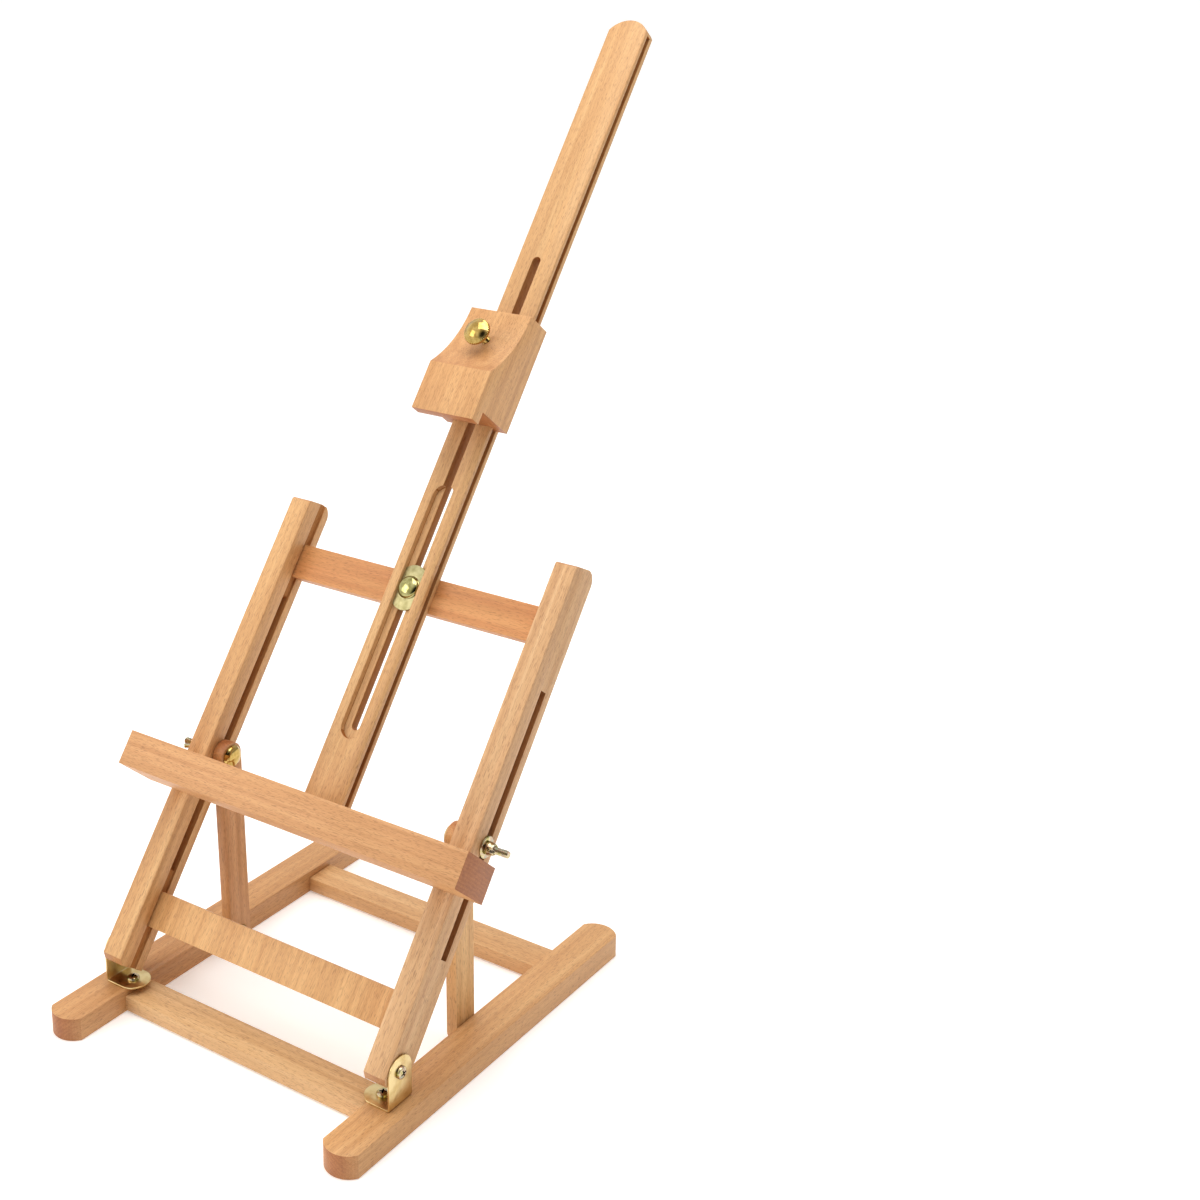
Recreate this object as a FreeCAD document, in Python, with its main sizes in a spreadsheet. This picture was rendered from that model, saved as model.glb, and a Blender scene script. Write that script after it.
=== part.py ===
"""Tabletop easel: folding H-frame with a sliding mast, millimetres, +Z up.

The origin is on the floor under the middle of the whole easel.  X runs across the easel,
the canvas faces -Y.  The base is drawn about its own middle and set forward by its
Placement.  The folding frame is drawn upright in its own axes (X across, Y back from the
uprights' front face, Z up from their feet) and leaned back by its Placement.
"""
import FreeCAD
import Part
import Sketcher
import math
import os

SIZES = [
    # The base: two rails joined by two flat crossbars.
    ("base_y", "-125.7", "the base's middle, forward of the middle of the whole easel"),
    ("base_half_width", "160", "centre plane to a rail's outer face"),
    ("rail_width", "33", ""),
    ("rail_height", "20", ""),
    ("rail_length", "356.4", "corner to corner, without the rounded ends"),
    ("rail_end_bulge", "9", "height of the rounded end"),
    ("rail_half_length", "=rail_length / 2", ""),
    ("rail_inner_x", "=base_half_width - rail_width", ""),
    ("rail_end_radius", "=(rail_width * rail_width / 4 + rail_end_bulge * rail_end_bulge) / (2 * rail_end_bulge)", ""),
    ("base_bar_width", "30", ""),
    ("base_bar_thick", "13", ""),
    ("base_bar_lift", "1", "gap under the crossbars"),
    ("base_bar_inset", "64.5", "rail corner to a crossbar's middle, front"),
    ("rear_bar_inset", "57.9", "rail corner to the rear crossbar's middle"),
    ("front_bar_y", "=base_bar_inset - rail_half_length", ""),
    ("rear_bar_y", "=rail_half_length - rear_bar_inset", ""),
    ("base_bar_dowel_z", "=base_bar_lift + base_bar_thick / 2", ""),
    ("base_dowel_gap", "16", "between the two dowels of one joint"),
    # Dowels.
    ("dowel_radius", "4", ""),
    ("bar_dowel_radius", "3", "frame crossbars are thinner"),
    ("dowel_depth", "15", "into each piece"),
    ("glue_gap", "0.05", "dowel to hole wall"),
    # The folding frame.
    ("lean", "37.58", "degrees back from upright"),
    ("pivot_y", "-114.1", "foot pivot, from the base's middle"),
    ("pivot_z", "48.35", ""),
    ("pivot_s", "9", "foot pivot up from the upright's bottom end"),
    ("pivot_t", "14.5", "foot pivot back from the upright's front face"),
    ("frame_y", "=base_y + pivot_y - pivot_s * sin(lean * 1 deg) - pivot_t * cos(lean * 1 deg)", ""),
    ("frame_z", "=pivot_z - pivot_s * cos(lean * 1 deg) + pivot_t * sin(lean * 1 deg)", ""),
    ("upright_side_gap", "0.5", "a rail's inner face to an upright's inner face"),
    ("upright_thick", "20", ""),
    ("upright_depth", "32", ""),
    ("upright_length", "414.5", "along the front face"),
    ("upright_top_rise", "3.5", "the top is cut out of square, higher at the back by this"),
    ("upright_foot_drop", "4.5", "the foot reaches below the front face by this"),
    ("upright_foot_slant", "5.5", "depth of the slanting cut at the foot's front"),
    ("upright_back_radius", "11", "top rear corner"),
    ("upright_front_radius", "3", "top front corner"),
    ("upright_inner_x", "=rail_inner_x + upright_side_gap", ""),
    ("upright_outer_x", "=upright_inner_x + upright_thick", ""),
    ("upright_mid_x", "=upright_inner_x + upright_thick / 2", ""),
    ("slot_t", "19.6", "slot and groove centre line, back from the front face"),
    ("slot_width", "8", ""),
    ("slot_front", "=slot_t - slot_width / 2", ""),
    ("slot_back", "=slot_t + slot_width / 2", ""),
    ("groove_depth", "2", ""),
    ("slot_outer_low", "95.1", "slot ends on the outer face"),
    ("slot_outer_high", "313.5", ""),
    ("slot_inner_low", "79.3", "slot ends on the inner face, where the saw went in"),
    ("slot_inner_high", "331.7", ""),
    ("saw_radius", "60", ""),
    ("bar_height", "30", "frame crossbars"),
    ("bar_thick", "11", ""),
    ("bar_front", "17", ""),
    ("upper_bar_s", "363.5", "middle of the upper crossbar"),
    ("lower_bar_s", "46.6", "middle of the lower crossbar"),
    ("tongue_gap", "0.1", ""),
    ("tongue_thick", "=slot_back - tongue_gap - bar_front", ""),
    ("tongue_reach", "=groove_depth - tongue_gap", ""),
    ("bar_dowel_t", "=bar_front + bar_thick / 2", ""),
    ("bar_half_height", "=bar_height / 2", ""),
    # The canvas ledge.
    ("ledge_half_length", "173", ""),
    ("ledge_depth", "45.6", ""),
    ("ledge_height", "29", ""),
    ("ledge_s", "143.2", "its underside, at the back"),
    ("ledge_rise", "3", "the section leans, higher at the front by this"),
    ("ledge_dowel_gap", "14", ""),
    ("ledge_dowel_depth", "20", "into the ledge"),
    ("ledge_dowel_tail", "13", "into the upright, short of its slot"),
    ("ledge_dowel_s", "=ledge_s + (ledge_height + ledge_rise) / 2", ""),
    # The mast.
    ("mast_half_width", "19.5", ""),
    ("mast_front", "3", ""),
    ("mast_thick", "13.8", ""),
    ("mast_low", "155", "bottom end"),
    ("mast_high", "915.5", "crown of the rounded top"),
    ("mast_bulge", "10.9", "height of the rounded top"),
    ("mast_shoulder", "=mast_high - mast_bulge", ""),
    ("mast_end_radius", "=(mast_half_width * mast_half_width + mast_bulge * mast_bulge) / (2 * mast_bulge)", ""),
    ("mast_slot_half", "4", ""),
    ("mast_slot_low", "238", ""),
    ("mast_slot_high", "674", ""),
    ("mast_slot_low_centre", "=mast_slot_low + mast_slot_half", ""),
    ("mast_slot_high_centre", "=mast_slot_high - mast_slot_half", ""),
    ("recess_half", "10.5", ""),
    ("recess_depth", "5", ""),
    ("recess_low", "229.5", ""),
    ("recess_high", "455.8", ""),
    ("recess_low_centre", "=recess_low + recess_half", ""),
    ("recess_high_centre", "=recess_high - recess_half", ""),
    ("recess_floor", "=mast_front + recess_depth", ""),
    ("mast_groove_width", "5", ""),
    ("mast_groove_depth", "4", ""),
    ("mast_groove_high", "903", ""),
    ("mast_groove_front", "=mast_front + (mast_thick - mast_groove_width) / 2", ""),
    ("mast_groove_back", "=mast_groove_front + mast_groove_width", ""),
    ("mast_groove_x", "=mast_half_width - mast_groove_depth", ""),
    # Machine threads (M6) and wood screws.
    ("bolt_radius", "3", "M6"),
    ("bolt_play", "0.1", "bolt in a drilled hole"),
    ("hole_radius", "=bolt_radius + bolt_play", ""),
    ("head_radius", "10", "domed bolt heads"),
    ("head_height", "5", ""),
    ("face_gap", "0.2", "between faces that slide or turn on each other"),
    ("washer_radius", "9", ""),
    ("washer_thick", "1.6", ""),
    ("nut_boss_radius", "5.5", ""),
    ("nut_boss_height", "8", ""),
    ("nut_wing_span", "27", ""),
    ("nut_wing_height", "13", ""),
    ("nut_wing_thick", "2.6", ""),
    ("stud_reach", "21.5", "side bolts' free ends, out from the uprights"),
    ("stud_end_x", "=upright_outer_x + stud_reach", ""),
    # Mast clamp.
    ("clamp_half_width", "10", ""),
    ("clamp_length", "40", ""),
    ("clamp_bulge", "4", "height of its rounded ends"),
    ("clamp_thick", "2", ""),
    ("clamp_back", "=recess_floor - face_gap / 2", ""),
    ("clamp_front", "=clamp_back - clamp_thick", ""),
    ("clamp_end_radius", "=(clamp_half_width * clamp_half_width + clamp_bulge * clamp_bulge) / (2 * clamp_bulge)", ""),
    ("clamp_low", "=upper_bar_s - clamp_length / 2 + clamp_bulge", "corner of the plate"),
    ("clamp_high", "=upper_bar_s + clamp_length / 2 - clamp_bulge", ""),
    ("clamp_bolt_length", "44", ""),
    # Top holder block.
    ("holder_half_width", "31", ""),
    ("holder_bottom", "502.5", "underside of the lip"),
    ("holder_notch", "513.5", "underside of the body"),
    ("holder_lip_top", "546", ""),
    ("holder_top", "610", ""),
    ("holder_lip_front", "-43", ""),
    ("holder_lip_back", "-32", ""),
    ("holder_top_front", "-17", ""),
    ("holder_cove_radius", "102", ""),
    ("holder_gap", "0.3", "around the mast"),
    ("holder_seat", "=mast_front - holder_gap", ""),
    ("holder_back", "=mast_groove_back - holder_gap / 1.5", ""),
    ("holder_tongue_front", "=mast_groove_front + holder_gap / 1.5", ""),
    ("holder_seat_half", "=mast_half_width + holder_gap", ""),
    ("holder_tongue_half", "=mast_groove_x + holder_gap", ""),
    ("knob_s", "580", ""),
    ("knob_front", "-44.5", "knob face"),
    ("knob_radius", "12", ""),
    ("knob_thick", "8", ""),
    ("knob_collar", "5", ""),
    ("insert_radius", "4", "threaded brass inserts"),
    ("insert_bore", "3.05", ""),
    ("pad_half", "8", "pressure plate in its pocket"),
    ("pad_thick", "1.5", ""),
    ("pad_pocket", "1.8", ""),
    ("pad_floor", "=holder_seat - pad_pocket", ""),
    # Foot brackets.
    ("bracket_thick", "1.5", ""),
    ("bracket_half", "14", ""),
    ("bracket_gap", "0.2", "to the upright"),
    ("bracket_bend", "2.5", "outside radius"),
    ("bracket_round_z", "47.5", "centre of the rounded top"),
    ("bracket_round_inset", "4.5", "rail's inner face to the centre of the rounded end"),
    ("bracket_round_x", "=rail_inner_x + bracket_round_inset", ""),
    ("bracket_inner_x", "=upright_outer_x + bracket_gap", ""),
    ("bracket_outer_x", "=bracket_inner_x + bracket_thick", ""),
    ("bracket_under", "=rail_height", ""),
    ("bracket_over", "=rail_height + bracket_thick", ""),
    ("bracket_crown_z", "=bracket_round_z + bracket_half", ""),
    ("bracket_end_x", "=bracket_round_x - bracket_half", ""),
    ("bracket_low_y", "=pivot_y - bracket_half", ""),
    ("bracket_high_y", "=pivot_y + bracket_half", ""),
    ("bracket_screw_inset", "5.2", "rail's inner face to the screw"),
    ("bracket_screw_x", "=rail_inner_x + bracket_screw_inset", ""),
    ("screw_radius", "2", ""),
    ("screw_head_radius", "5.3", ""),
    ("screw_head_height", "3", ""),
    ("screw_length", "15", "below the head"),
    ("screw_play", "0.08", ""),
    ("screw_hole", "=screw_radius + screw_play", ""),
    # Struts.
    ("strut_half", "12", ""),
    ("strut_thick", "10", ""),
    ("strut_gap", "0.5", "to the rail"),
    ("strut_foot_y", "0.8", "from the base's middle"),
    ("strut_foot_z", "13.2", ""),
    ("strut_head_s", "185.7", "strut bolt up the slot"),
    ("strut_head_y", "=frame_y + strut_head_s * sin(lean * 1 deg) + slot_t * cos(lean * 1 deg)", ""),
    ("strut_head_z", "=frame_z + strut_head_s * cos(lean * 1 deg) - slot_t * sin(lean * 1 deg)", ""),
    ("strut_run", "=base_y + strut_foot_y - strut_head_y", ""),
    ("strut_drop", "=strut_head_z - strut_foot_z", ""),
    ("strut_length", "=sqrt(strut_run * strut_run + strut_drop * strut_drop)", ""),
    ("strut_outer_x", "=rail_inner_x - strut_gap", ""),
    ("strut_inner_x", "=strut_outer_x - strut_thick", ""),
    ("pivot_head_radius", "7", "strut foot screws"),
    ("pivot_head_height", "4", ""),
    ("rail_insert_length", "12", ""),
]

doc = FreeCAD.newDocument("tabletop_easel")
sheet = doc.addObject("Spreadsheet::Sheet", "Sizes")
for row, (alias, value, note) in enumerate(SIZES, 1):
    sheet.set(f"A{row}", alias)
    sheet.set(f"B{row}", value)
    sheet.setAlias(f"B{row}", alias)
    sheet.set(f"C{row}", note)
doc.recompute()

PLANES = {"XY": ("XY_Plane", 1), "XZ": ("XZ_Plane", -1), "YZ": ("YZ_Plane", 1)}
SIDES = (("right", 1), ("left", -1))
parts = []


# Sums of sheet names, written "name +name -name", as a value and as a live expression.

def terms(text, sign=1):
    for word in text.split():
        down = word.startswith("-")
        yield (-1 if down else 1) * sign, word.lstrip("+-")


def size(text, sign=1):
    total = 0.0
    for way, name in terms(text, sign):
        total += way * (float(sheet.get(name)) if name[0].isalpha() else float(name))
    return total


def live(text, sign=1):
    words = ["0"]
    for way, name in terms(text, sign):
        words.append("+" if way > 0 else "-")
        words.append("Sizes." + name if name[0].isalpha() else name)
    return " ".join(words)


# Sketches: every corner is held by two live dimensions from the sketch's origin.

def draw(sketch, loops, side):
    for loop in loops:
        if loop[0] == "circle":
            draw_circle(sketch, loop[1:], side)
        else:
            draw_loop(sketch, loop, side)


def draw_circle(sketch, circle, side):
    x, y, radius = circle
    centre = FreeCAD.Vector(size(x, side), size(y), 0)
    ring = sketch.addGeometry(Part.Circle(centre, FreeCAD.Vector(0, 0, 1), size(radius)))
    hold(sketch, ring, 3, x, y, side)
    number = sketch.addConstraint(Sketcher.Constraint("Radius", ring, size(radius)))
    sketch.setExpression(f"Constraints[{number}]", live(radius))


def hold(sketch, geometry, point, x, y, side):
    number = sketch.addConstraint(
        Sketcher.Constraint("DistanceX", -1, 1, geometry, point, size(x, side)))
    sketch.setExpression(f"Constraints[{number}]", live(x, side))
    number = sketch.addConstraint(
        Sketcher.Constraint("DistanceY", -1, 1, geometry, point, size(y)))
    sketch.setExpression(f"Constraints[{number}]", live(y))


def draw_loop(sketch, corners, side):
    """corners: (x, y) or (x, y, kind, value, bulge); the last three bend the edge that follows."""
    places = [FreeCAD.Vector(size(c[0], side), size(c[1]), 0) for c in corners]
    edges = []
    for index, corner in enumerate(corners):
        start = places[index]
        end = places[(index + 1) % len(places)]
        if len(corner) == 2:
            edges.append((sketch.addGeometry(Part.LineSegment(start, end)), 1, 2))
            continue
        half = (end - start).Length / 2
        rise = half
        if corner[2] == "radius":
            radius = size(corner[3])
            rise = radius - math.sqrt(radius * radius - half * half)
        along = (end - start).normalize()
        left = FreeCAD.Vector(-along.y, along.x, 0)
        middle = (start + end) * 0.5 + left * (rise * corner[4] * side)
        arc = sketch.addGeometry(Part.Arc(start, middle, end))
        first = 1 if (sketch.getPoint(arc, 1) - start).Length < 1e-6 else 2
        edges.append((arc, first, 3 - first))
    for index, corner in enumerate(corners):
        edge, first, last = edges[index]
        following = edges[(index + 1) % len(edges)]
        hold(sketch, edge, first, corner[0], corner[1], side)
        sketch.addConstraint(Sketcher.Constraint("Coincident", edge, last, following[0], following[1]))
    for corner, (edge, first, last) in zip(corners, edges):
        if len(corner) == 2:
            continue
        kind, value = corner[2], corner[3]
        if kind == "radius":
            number = sketch.addConstraint(Sketcher.Constraint("Radius", edge, size(value)))
        elif kind == "centre_y":
            number = sketch.addConstraint(
                Sketcher.Constraint("DistanceY", -1, 1, edge, 3, size(value)))
        else:
            number = sketch.addConstraint(
                Sketcher.Constraint("DistanceX", -1, 1, edge, 3, size(value, side)))
        sketch.setExpression(f"Constraints[{number}]", live(value, side if kind == "centre_x" else 1))


def new_body(label):
    body = doc.addObject("PartDesign::Body", label)
    body.Label = label
    parts.append(body)
    return body


def shape(body, kind, plane, start, length, loops, side=1):
    """Add (Pad) or remove (Pocket) what the loops enclose, from start towards plus by length."""
    role, sense = PLANES[plane]
    origin_plane = [item for item in body.Origin.OriginFeatures if item.Role == role][0]
    sketch = body.newObject("Sketcher::SketchObject", body.Label + "_sketch")
    sketch.AttachmentSupport = [(origin_plane, "")]
    sketch.MapMode = "FlatFace"
    sketch.setExpression("AttachmentOffset.Base.z", live(start, sense))
    draw(sketch, loops, side)
    made = body.newObject("PartDesign::" + kind, body.Label + "_" + kind.lower())
    made.Profile = sketch
    made.setExpression("Length", live(length))
    made.Reversed = sense < 0 if kind == "Pad" else sense > 0
    body.Tip = made
    return made


def across(body, kind, near, length, loops, side):
    """A YZ feature between near and near + length from the centre plane, on one side of it."""
    start = near if side > 0 else " ".join("-" + word.lstrip("+-") if not word.startswith("-")
                                           else "+" + word[1:] for word in (near + " +" + length).split())
    return shape(body, kind, "YZ", start, length, loops)


def rectangle(x_low, x_high, y_low, y_high):
    return [(x_low, y_low), (x_high, y_low), (x_high, y_high), (x_low, y_high)]


def stadium(x_low, x_high, y_low, y_high):
    """Upright slot outline with half-round ends; y values are the ends' centres."""
    return [(x_low, y_low, "centre_y", y_low, -1), (x_high, y_low),
            (x_high, y_high, "centre_y", y_high, -1), (x_low, y_high)]


def stand_on_base(item):
    """Place a piece drawn about the base's middle."""
    item.Placement = FreeCAD.Placement(FreeCAD.Vector(0, size("base_y"), 0), FreeCAD.Rotation())
    item.setExpression("Placement.Base.y", "Sizes.base_y")


def lean_back(item):
    """Place a piece drawn in the frame's own axes."""
    item.Placement = FreeCAD.Placement(
        FreeCAD.Vector(0, size("frame_y"), size("frame_z")),
        FreeCAD.Rotation(FreeCAD.Vector(-1, 0, 0), size("lean")))
    item.setExpression("Placement.Base.y", "Sizes.frame_y")
    item.setExpression("Placement.Base.z", "Sizes.frame_z")
    item.setExpression("Placement.Rotation.Angle", "Sizes.lean * 1 deg")


# Turned and other small metal pieces, from Part functions; sizes come from the sheet.

def turned(outline):
    """Solid turned about +Z. Rows are (radius, height) or (radius, height, mid radius, mid height)."""
    edges = []
    for index, row in enumerate(outline):
        start = FreeCAD.Vector(row[0], 0, row[1])
        after = outline[(index + 1) % len(outline)]
        end = FreeCAD.Vector(after[0], 0, after[1])
        if len(row) == 4:
            edges.append(Part.Arc(start, FreeCAD.Vector(row[2], 0, row[3]), end).toShape())
        else:
            edges.append(Part.makeLine(start, end))
    face = Part.Face(Part.Wire(edges))
    return face.revolve(FreeCAD.Vector(0, 0, 0), FreeCAD.Vector(0, 0, 1), 360)


def domed_bolt(head_radius, head_height, shank_radius, length):
    """Head below z = 0, shank up +Z from it."""
    rim = head_height * 0.25
    return turned([(0, -head_height, head_radius * 0.62, -head_height * 0.76), (head_radius, -rim),
                   (head_radius, 0), (shank_radius, 0), (shank_radius, length), (0, length)])


def ring(outer, bore, thick):
    return turned([(bore, 0), (outer, 0), (outer, thick), (bore, thick)])


def wing_nut():
    """Seated on z = 0, wings along +X and -X."""
    boss = size("nut_boss_radius")
    height = size("nut_boss_height")
    span = size("nut_wing_span") / 2
    top = size("nut_wing_height")
    thick = size("nut_wing_thick")
    nut = turned([(0, 0), (boss, 0), (boss * 0.8, height), (0, height)])
    for way in (1, -1):
        outline = [(boss * 0.5, 1.2), (boss * 1.1, 1.2), (span * 0.86, top * 0.48), (span, top * 0.72),
                   (span * 0.95, top * 0.93), (span * 0.8, top), (span * 0.66, top * 0.95),
                   (boss * 0.86, height * 0.92), (boss * 0.5, height * 0.85)]
        corners = [FreeCAD.Vector(way * r, -thick / 2, z) for r, z in outline]
        wing = Part.Face(Part.makePolygon(corners + corners[:1])).extrude(FreeCAD.Vector(0, thick, 0))
        nut = nut.fuse(wing)
    bore = Part.makeCylinder(size("hole_radius"), height * 3, FreeCAD.Vector(0, 0, -height))
    return nut.removeSplitter().cut(bore)


def aimed(solid, point, direction, spin=0.0):
    """Turn a piece made along +Z to point in a direction from a place."""
    made = solid.copy()
    turn = FreeCAD.Rotation(FreeCAD.Vector(0, 0, 1), FreeCAD.Vector(*direction))
    made.Placement = FreeCAD.Placement(FreeCAD.Vector(*point), turn.multiply(
        FreeCAD.Rotation(FreeCAD.Vector(0, 0, 1), spin)))
    return made


def rod(radius, start, end):
    start = FreeCAD.Vector(*start)
    reach = FreeCAD.Vector(*end) - start
    return Part.makeCylinder(radius, reach.Length, start, reach)


def fitting(label, solids, place=None):
    item = doc.addObject("Part::Feature", label)
    item.Label = label
    item.Shape = Part.makeCompound(solids)
    if place:
        place(item)
    parts.append(item)
    return item


# Base rails: flat on the floor, ends rounded in plan.

base_bars = (("front", "front_bar_y"), ("rear", "rear_bar_y"))
sheet_row = len(SIZES)
for _, bar in base_bars:
    for way, word in (("-", "low"), ("+", "high")):
        sheet_row += 1
        sheet.set(f"B{sheet_row}", f"={bar} {way} base_dowel_gap / 2")
        sheet.setAlias(f"B{sheet_row}", f"{bar}_dowel_{word}")
for alias, value in (("dowel_hole", "=dowel_radius + glue_gap"),
                     ("bar_dowel_hole", "=bar_dowel_radius + glue_gap"),
                     ("base_bar_half", "=base_bar_width / 2"),
                     ("ledge_dowel_low", "=ledge_dowel_s - ledge_dowel_gap / 2"),
                     ("ledge_dowel_high", "=ledge_dowel_s + ledge_dowel_gap / 2"),
                     ("insert_hole", "=insert_radius + glue_gap"),
                     ("pad_clear", "=pad_half + holder_gap")):
    sheet_row += 1
    sheet.set(f"B{sheet_row}", value)
    sheet.setAlias(f"B{sheet_row}", alias)
doc.recompute()

base_dowel_ys = [f"{bar}_dowel_{word}" for _, bar in base_bars for word in ("low", "high")]
for name, side in SIDES:
    rail = new_body(name + "_base_rail")
    shape(rail, "Pad", "XY", "0", "rail_height", [
        [("rail_inner_x", "-rail_half_length", "radius", "rail_end_radius", -1),
         ("base_half_width", "-rail_half_length"),
         ("base_half_width", "rail_half_length", "radius", "rail_end_radius", -1),
         ("rail_inner_x", "rail_half_length")]], side)
    across(rail, "Pocket", "rail_inner_x", "dowel_depth",
           [("circle", y, "base_bar_dowel_z", "dowel_hole") for y in base_dowel_ys], side)
    across(rail, "Pocket", "rail_inner_x", "rail_insert_length +face_gap",
           [("circle", "strut_foot_y", "strut_foot_z", "insert_hole")], side)
    shape(rail, "Pocket", "XY", "rail_height -screw_length", "screw_length",
          [("circle", "bracket_screw_x", "pivot_y", "screw_hole")], side)
    stand_on_base(rail)

# Base crossbars, dowelled between the rails.

for name, bar in base_bars:
    body = new_body(name + "_base_crossbar")
    shape(body, "Pad", "XY", "base_bar_lift", "base_bar_thick", [
        rectangle("-rail_inner_x", "rail_inner_x", bar + " -base_bar_half", bar + " +base_bar_half")])
    for _, side in SIDES:
        across(body, "Pocket", "rail_inner_x -dowel_depth", "dowel_depth",
               [("circle", f"{bar}_dowel_{word}", "base_bar_dowel_z", "dowel_hole")
                for word in ("low", "high")], side)
    stand_on_base(body)

reach = size("dowel_depth -face_gap")
fitting("base_dowels", [
    rod(size("dowel_radius"), (side * size("rail_inner_x") - reach, size(y), size("base_bar_dowel_z")),
        (side * size("rail_inner_x") + reach, size(y), size("base_bar_dowel_z")))
    for _, side in SIDES for y in base_dowel_ys], stand_on_base)

# Foot brackets: bent sheet, one leaf on the rail, one beside the upright.

for name, side in SIDES:
    bracket = new_body(name + "_foot_bracket")
    shape(bracket, "Pad", "XZ", "bracket_low_y", "bracket_half +bracket_half", [
        [("bracket_end_x", "bracket_under"),
         ("bracket_outer_x -bracket_bend", "bracket_under", "radius", "bracket_bend", -1),
         ("bracket_outer_x", "bracket_under +bracket_bend"),
         ("bracket_outer_x", "bracket_crown_z"),
         ("bracket_inner_x", "bracket_crown_z"),
         ("bracket_inner_x", "bracket_over +1", "radius", "bracket_bend -bracket_thick", 1),
         ("bracket_inner_x -1", "bracket_over"),
         ("bracket_end_x", "bracket_over")]], side)
    across(bracket, "Pocket", "bracket_inner_x", "bracket_thick", [
        [("bracket_low_y", "bracket_round_z", "centre_y", "bracket_round_z", 1),
         ("bracket_high_y", "bracket_round_z"),
         ("bracket_high_y +1", "bracket_round_z"),
         ("bracket_high_y +1", "bracket_crown_z +1"),
         ("bracket_low_y -1", "bracket_crown_z +1"),
         ("bracket_low_y -1", "bracket_round_z")]], side)
    shape(bracket, "Pocket", "XY", "bracket_under", "bracket_thick", [
        [("bracket_round_x", "bracket_low_y", "centre_x", "bracket_round_x", 1),
         ("bracket_round_x", "bracket_high_y"),
         ("bracket_round_x", "bracket_high_y +1"),
         ("bracket_end_x -1", "bracket_high_y +1"),
         ("bracket_end_x -1", "bracket_low_y -1"),
         ("bracket_round_x", "bracket_low_y -1")]], side)
    across(bracket, "Pocket", "bracket_inner_x", "bracket_thick",
           [("circle", "pivot_y", "pivot_z", "screw_hole")], side)
    shape(bracket, "Pocket", "XY", "bracket_under", "bracket_thick",
          [("circle", "bracket_screw_x", "pivot_y", "screw_hole")], side)
    stand_on_base(bracket)

screw = domed_bolt(size("screw_head_radius"), size("screw_head_height"), size("screw_radius"),
                   size("screw_length"))
fitting("bracket_base_screws", [
    aimed(screw, (side * size("bracket_screw_x"), size("pivot_y"), size("bracket_over")), (0, 0, -1))
    for _, side in SIDES], stand_on_base)

# Uprights: slotted right through, with a shallow groove down the inner face.

for name, side in SIDES:
    upright = new_body(name + "_upright")
    across(upright, "Pad", "upright_inner_x", "upright_thick", [
        [("0", "0"), ("upright_foot_slant", "-upright_foot_drop"), ("upright_depth", "-upright_foot_drop"),
         ("upright_depth", "upright_length +upright_top_rise -upright_back_radius",
          "radius", "upright_back_radius", -1),
         ("upright_depth -upright_back_radius", "upright_length +upright_top_rise"),
         ("upright_front_radius", "upright_length", "radius", "upright_front_radius", -1),
         ("0", "upright_length -upright_front_radius")]], side)
    shape(upright, "Pocket", "XZ", "slot_front", "slot_width", [
        [("upright_inner_x", "slot_inner_low", "radius", "saw_radius", -1),
         ("upright_outer_x", "slot_outer_low"),
         ("upright_outer_x", "slot_outer_high", "radius", "saw_radius", -1),
         ("upright_inner_x", "slot_inner_high")]], side)
    shape(upright, "Pocket", "XY", "-upright_foot_drop",
          "upright_length +upright_top_rise +upright_foot_drop", [
        rectangle("upright_inner_x", "upright_inner_x +groove_depth", "slot_front", "slot_back")], side)
    across(upright, "Pocket", "upright_inner_x", "dowel_depth",
           [("circle", "bar_dowel_t", bar, "bar_dowel_hole") for bar in ("upper_bar_s", "lower_bar_s")],
           side)
    shape(upright, "Pocket", "XZ", "0", "ledge_dowel_tail",
          [("circle", "upright_mid_x", place, "dowel_hole")
           for place in ("ledge_dowel_low", "ledge_dowel_high")], side)
    across(upright, "Pocket", "upright_outer_x -screw_length", "screw_length",
           [("circle", "pivot_t", "pivot_s", "screw_hole")], side)
    lean_back(upright)

fitting("foot_pivot_screws", [
    aimed(screw, (side * size("bracket_outer_x +face_gap"), size("pivot_t"), size("pivot_s")), (-side, 0, 0))
    for _, side in SIDES], lean_back)

# Frame crossbars: rebated ends in the uprights' grooves, one dowel each.

for name, bar in (("upper_crossbar", "upper_bar_s"), ("lower_crossbar", "lower_bar_s")):
    body = new_body(name)
    low, high = bar + " -bar_half_height", bar + " +bar_half_height"
    shape(body, "Pad", "YZ", "-upright_inner_x", "upright_inner_x +upright_inner_x",
          [rectangle("bar_front", "bar_front +bar_thick", low, high)])
    shape(body, "Pad", "YZ", "-upright_inner_x -tongue_reach",
          "upright_inner_x +upright_inner_x +tongue_reach +tongue_reach",
          [rectangle("bar_front", "bar_front +tongue_thick", low, high)])
    for _, side in SIDES:
        across(body, "Pocket", "upright_inner_x -dowel_depth", "dowel_depth +tongue_reach",
               [("circle", "bar_dowel_t", bar, "bar_dowel_hole")], side)
    if bar == "upper_bar_s":
        shape(body, "Pocket", "XZ", "bar_front", "bar_thick", [("circle", "0", bar, "hole_radius")])
    lean_back(body)

fitting("frame_dowels", [
    rod(size("bar_dowel_radius"), (side * size("upright_inner_x") - reach, size("bar_dowel_t"), size(bar)),
        (side * size("upright_inner_x") + reach, size("bar_dowel_t"), size(bar)))
    for _, side in SIDES for bar in ("upper_bar_s", "lower_bar_s")], lean_back)

# Canvas ledge, dowelled to the uprights in front of their slots.

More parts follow.
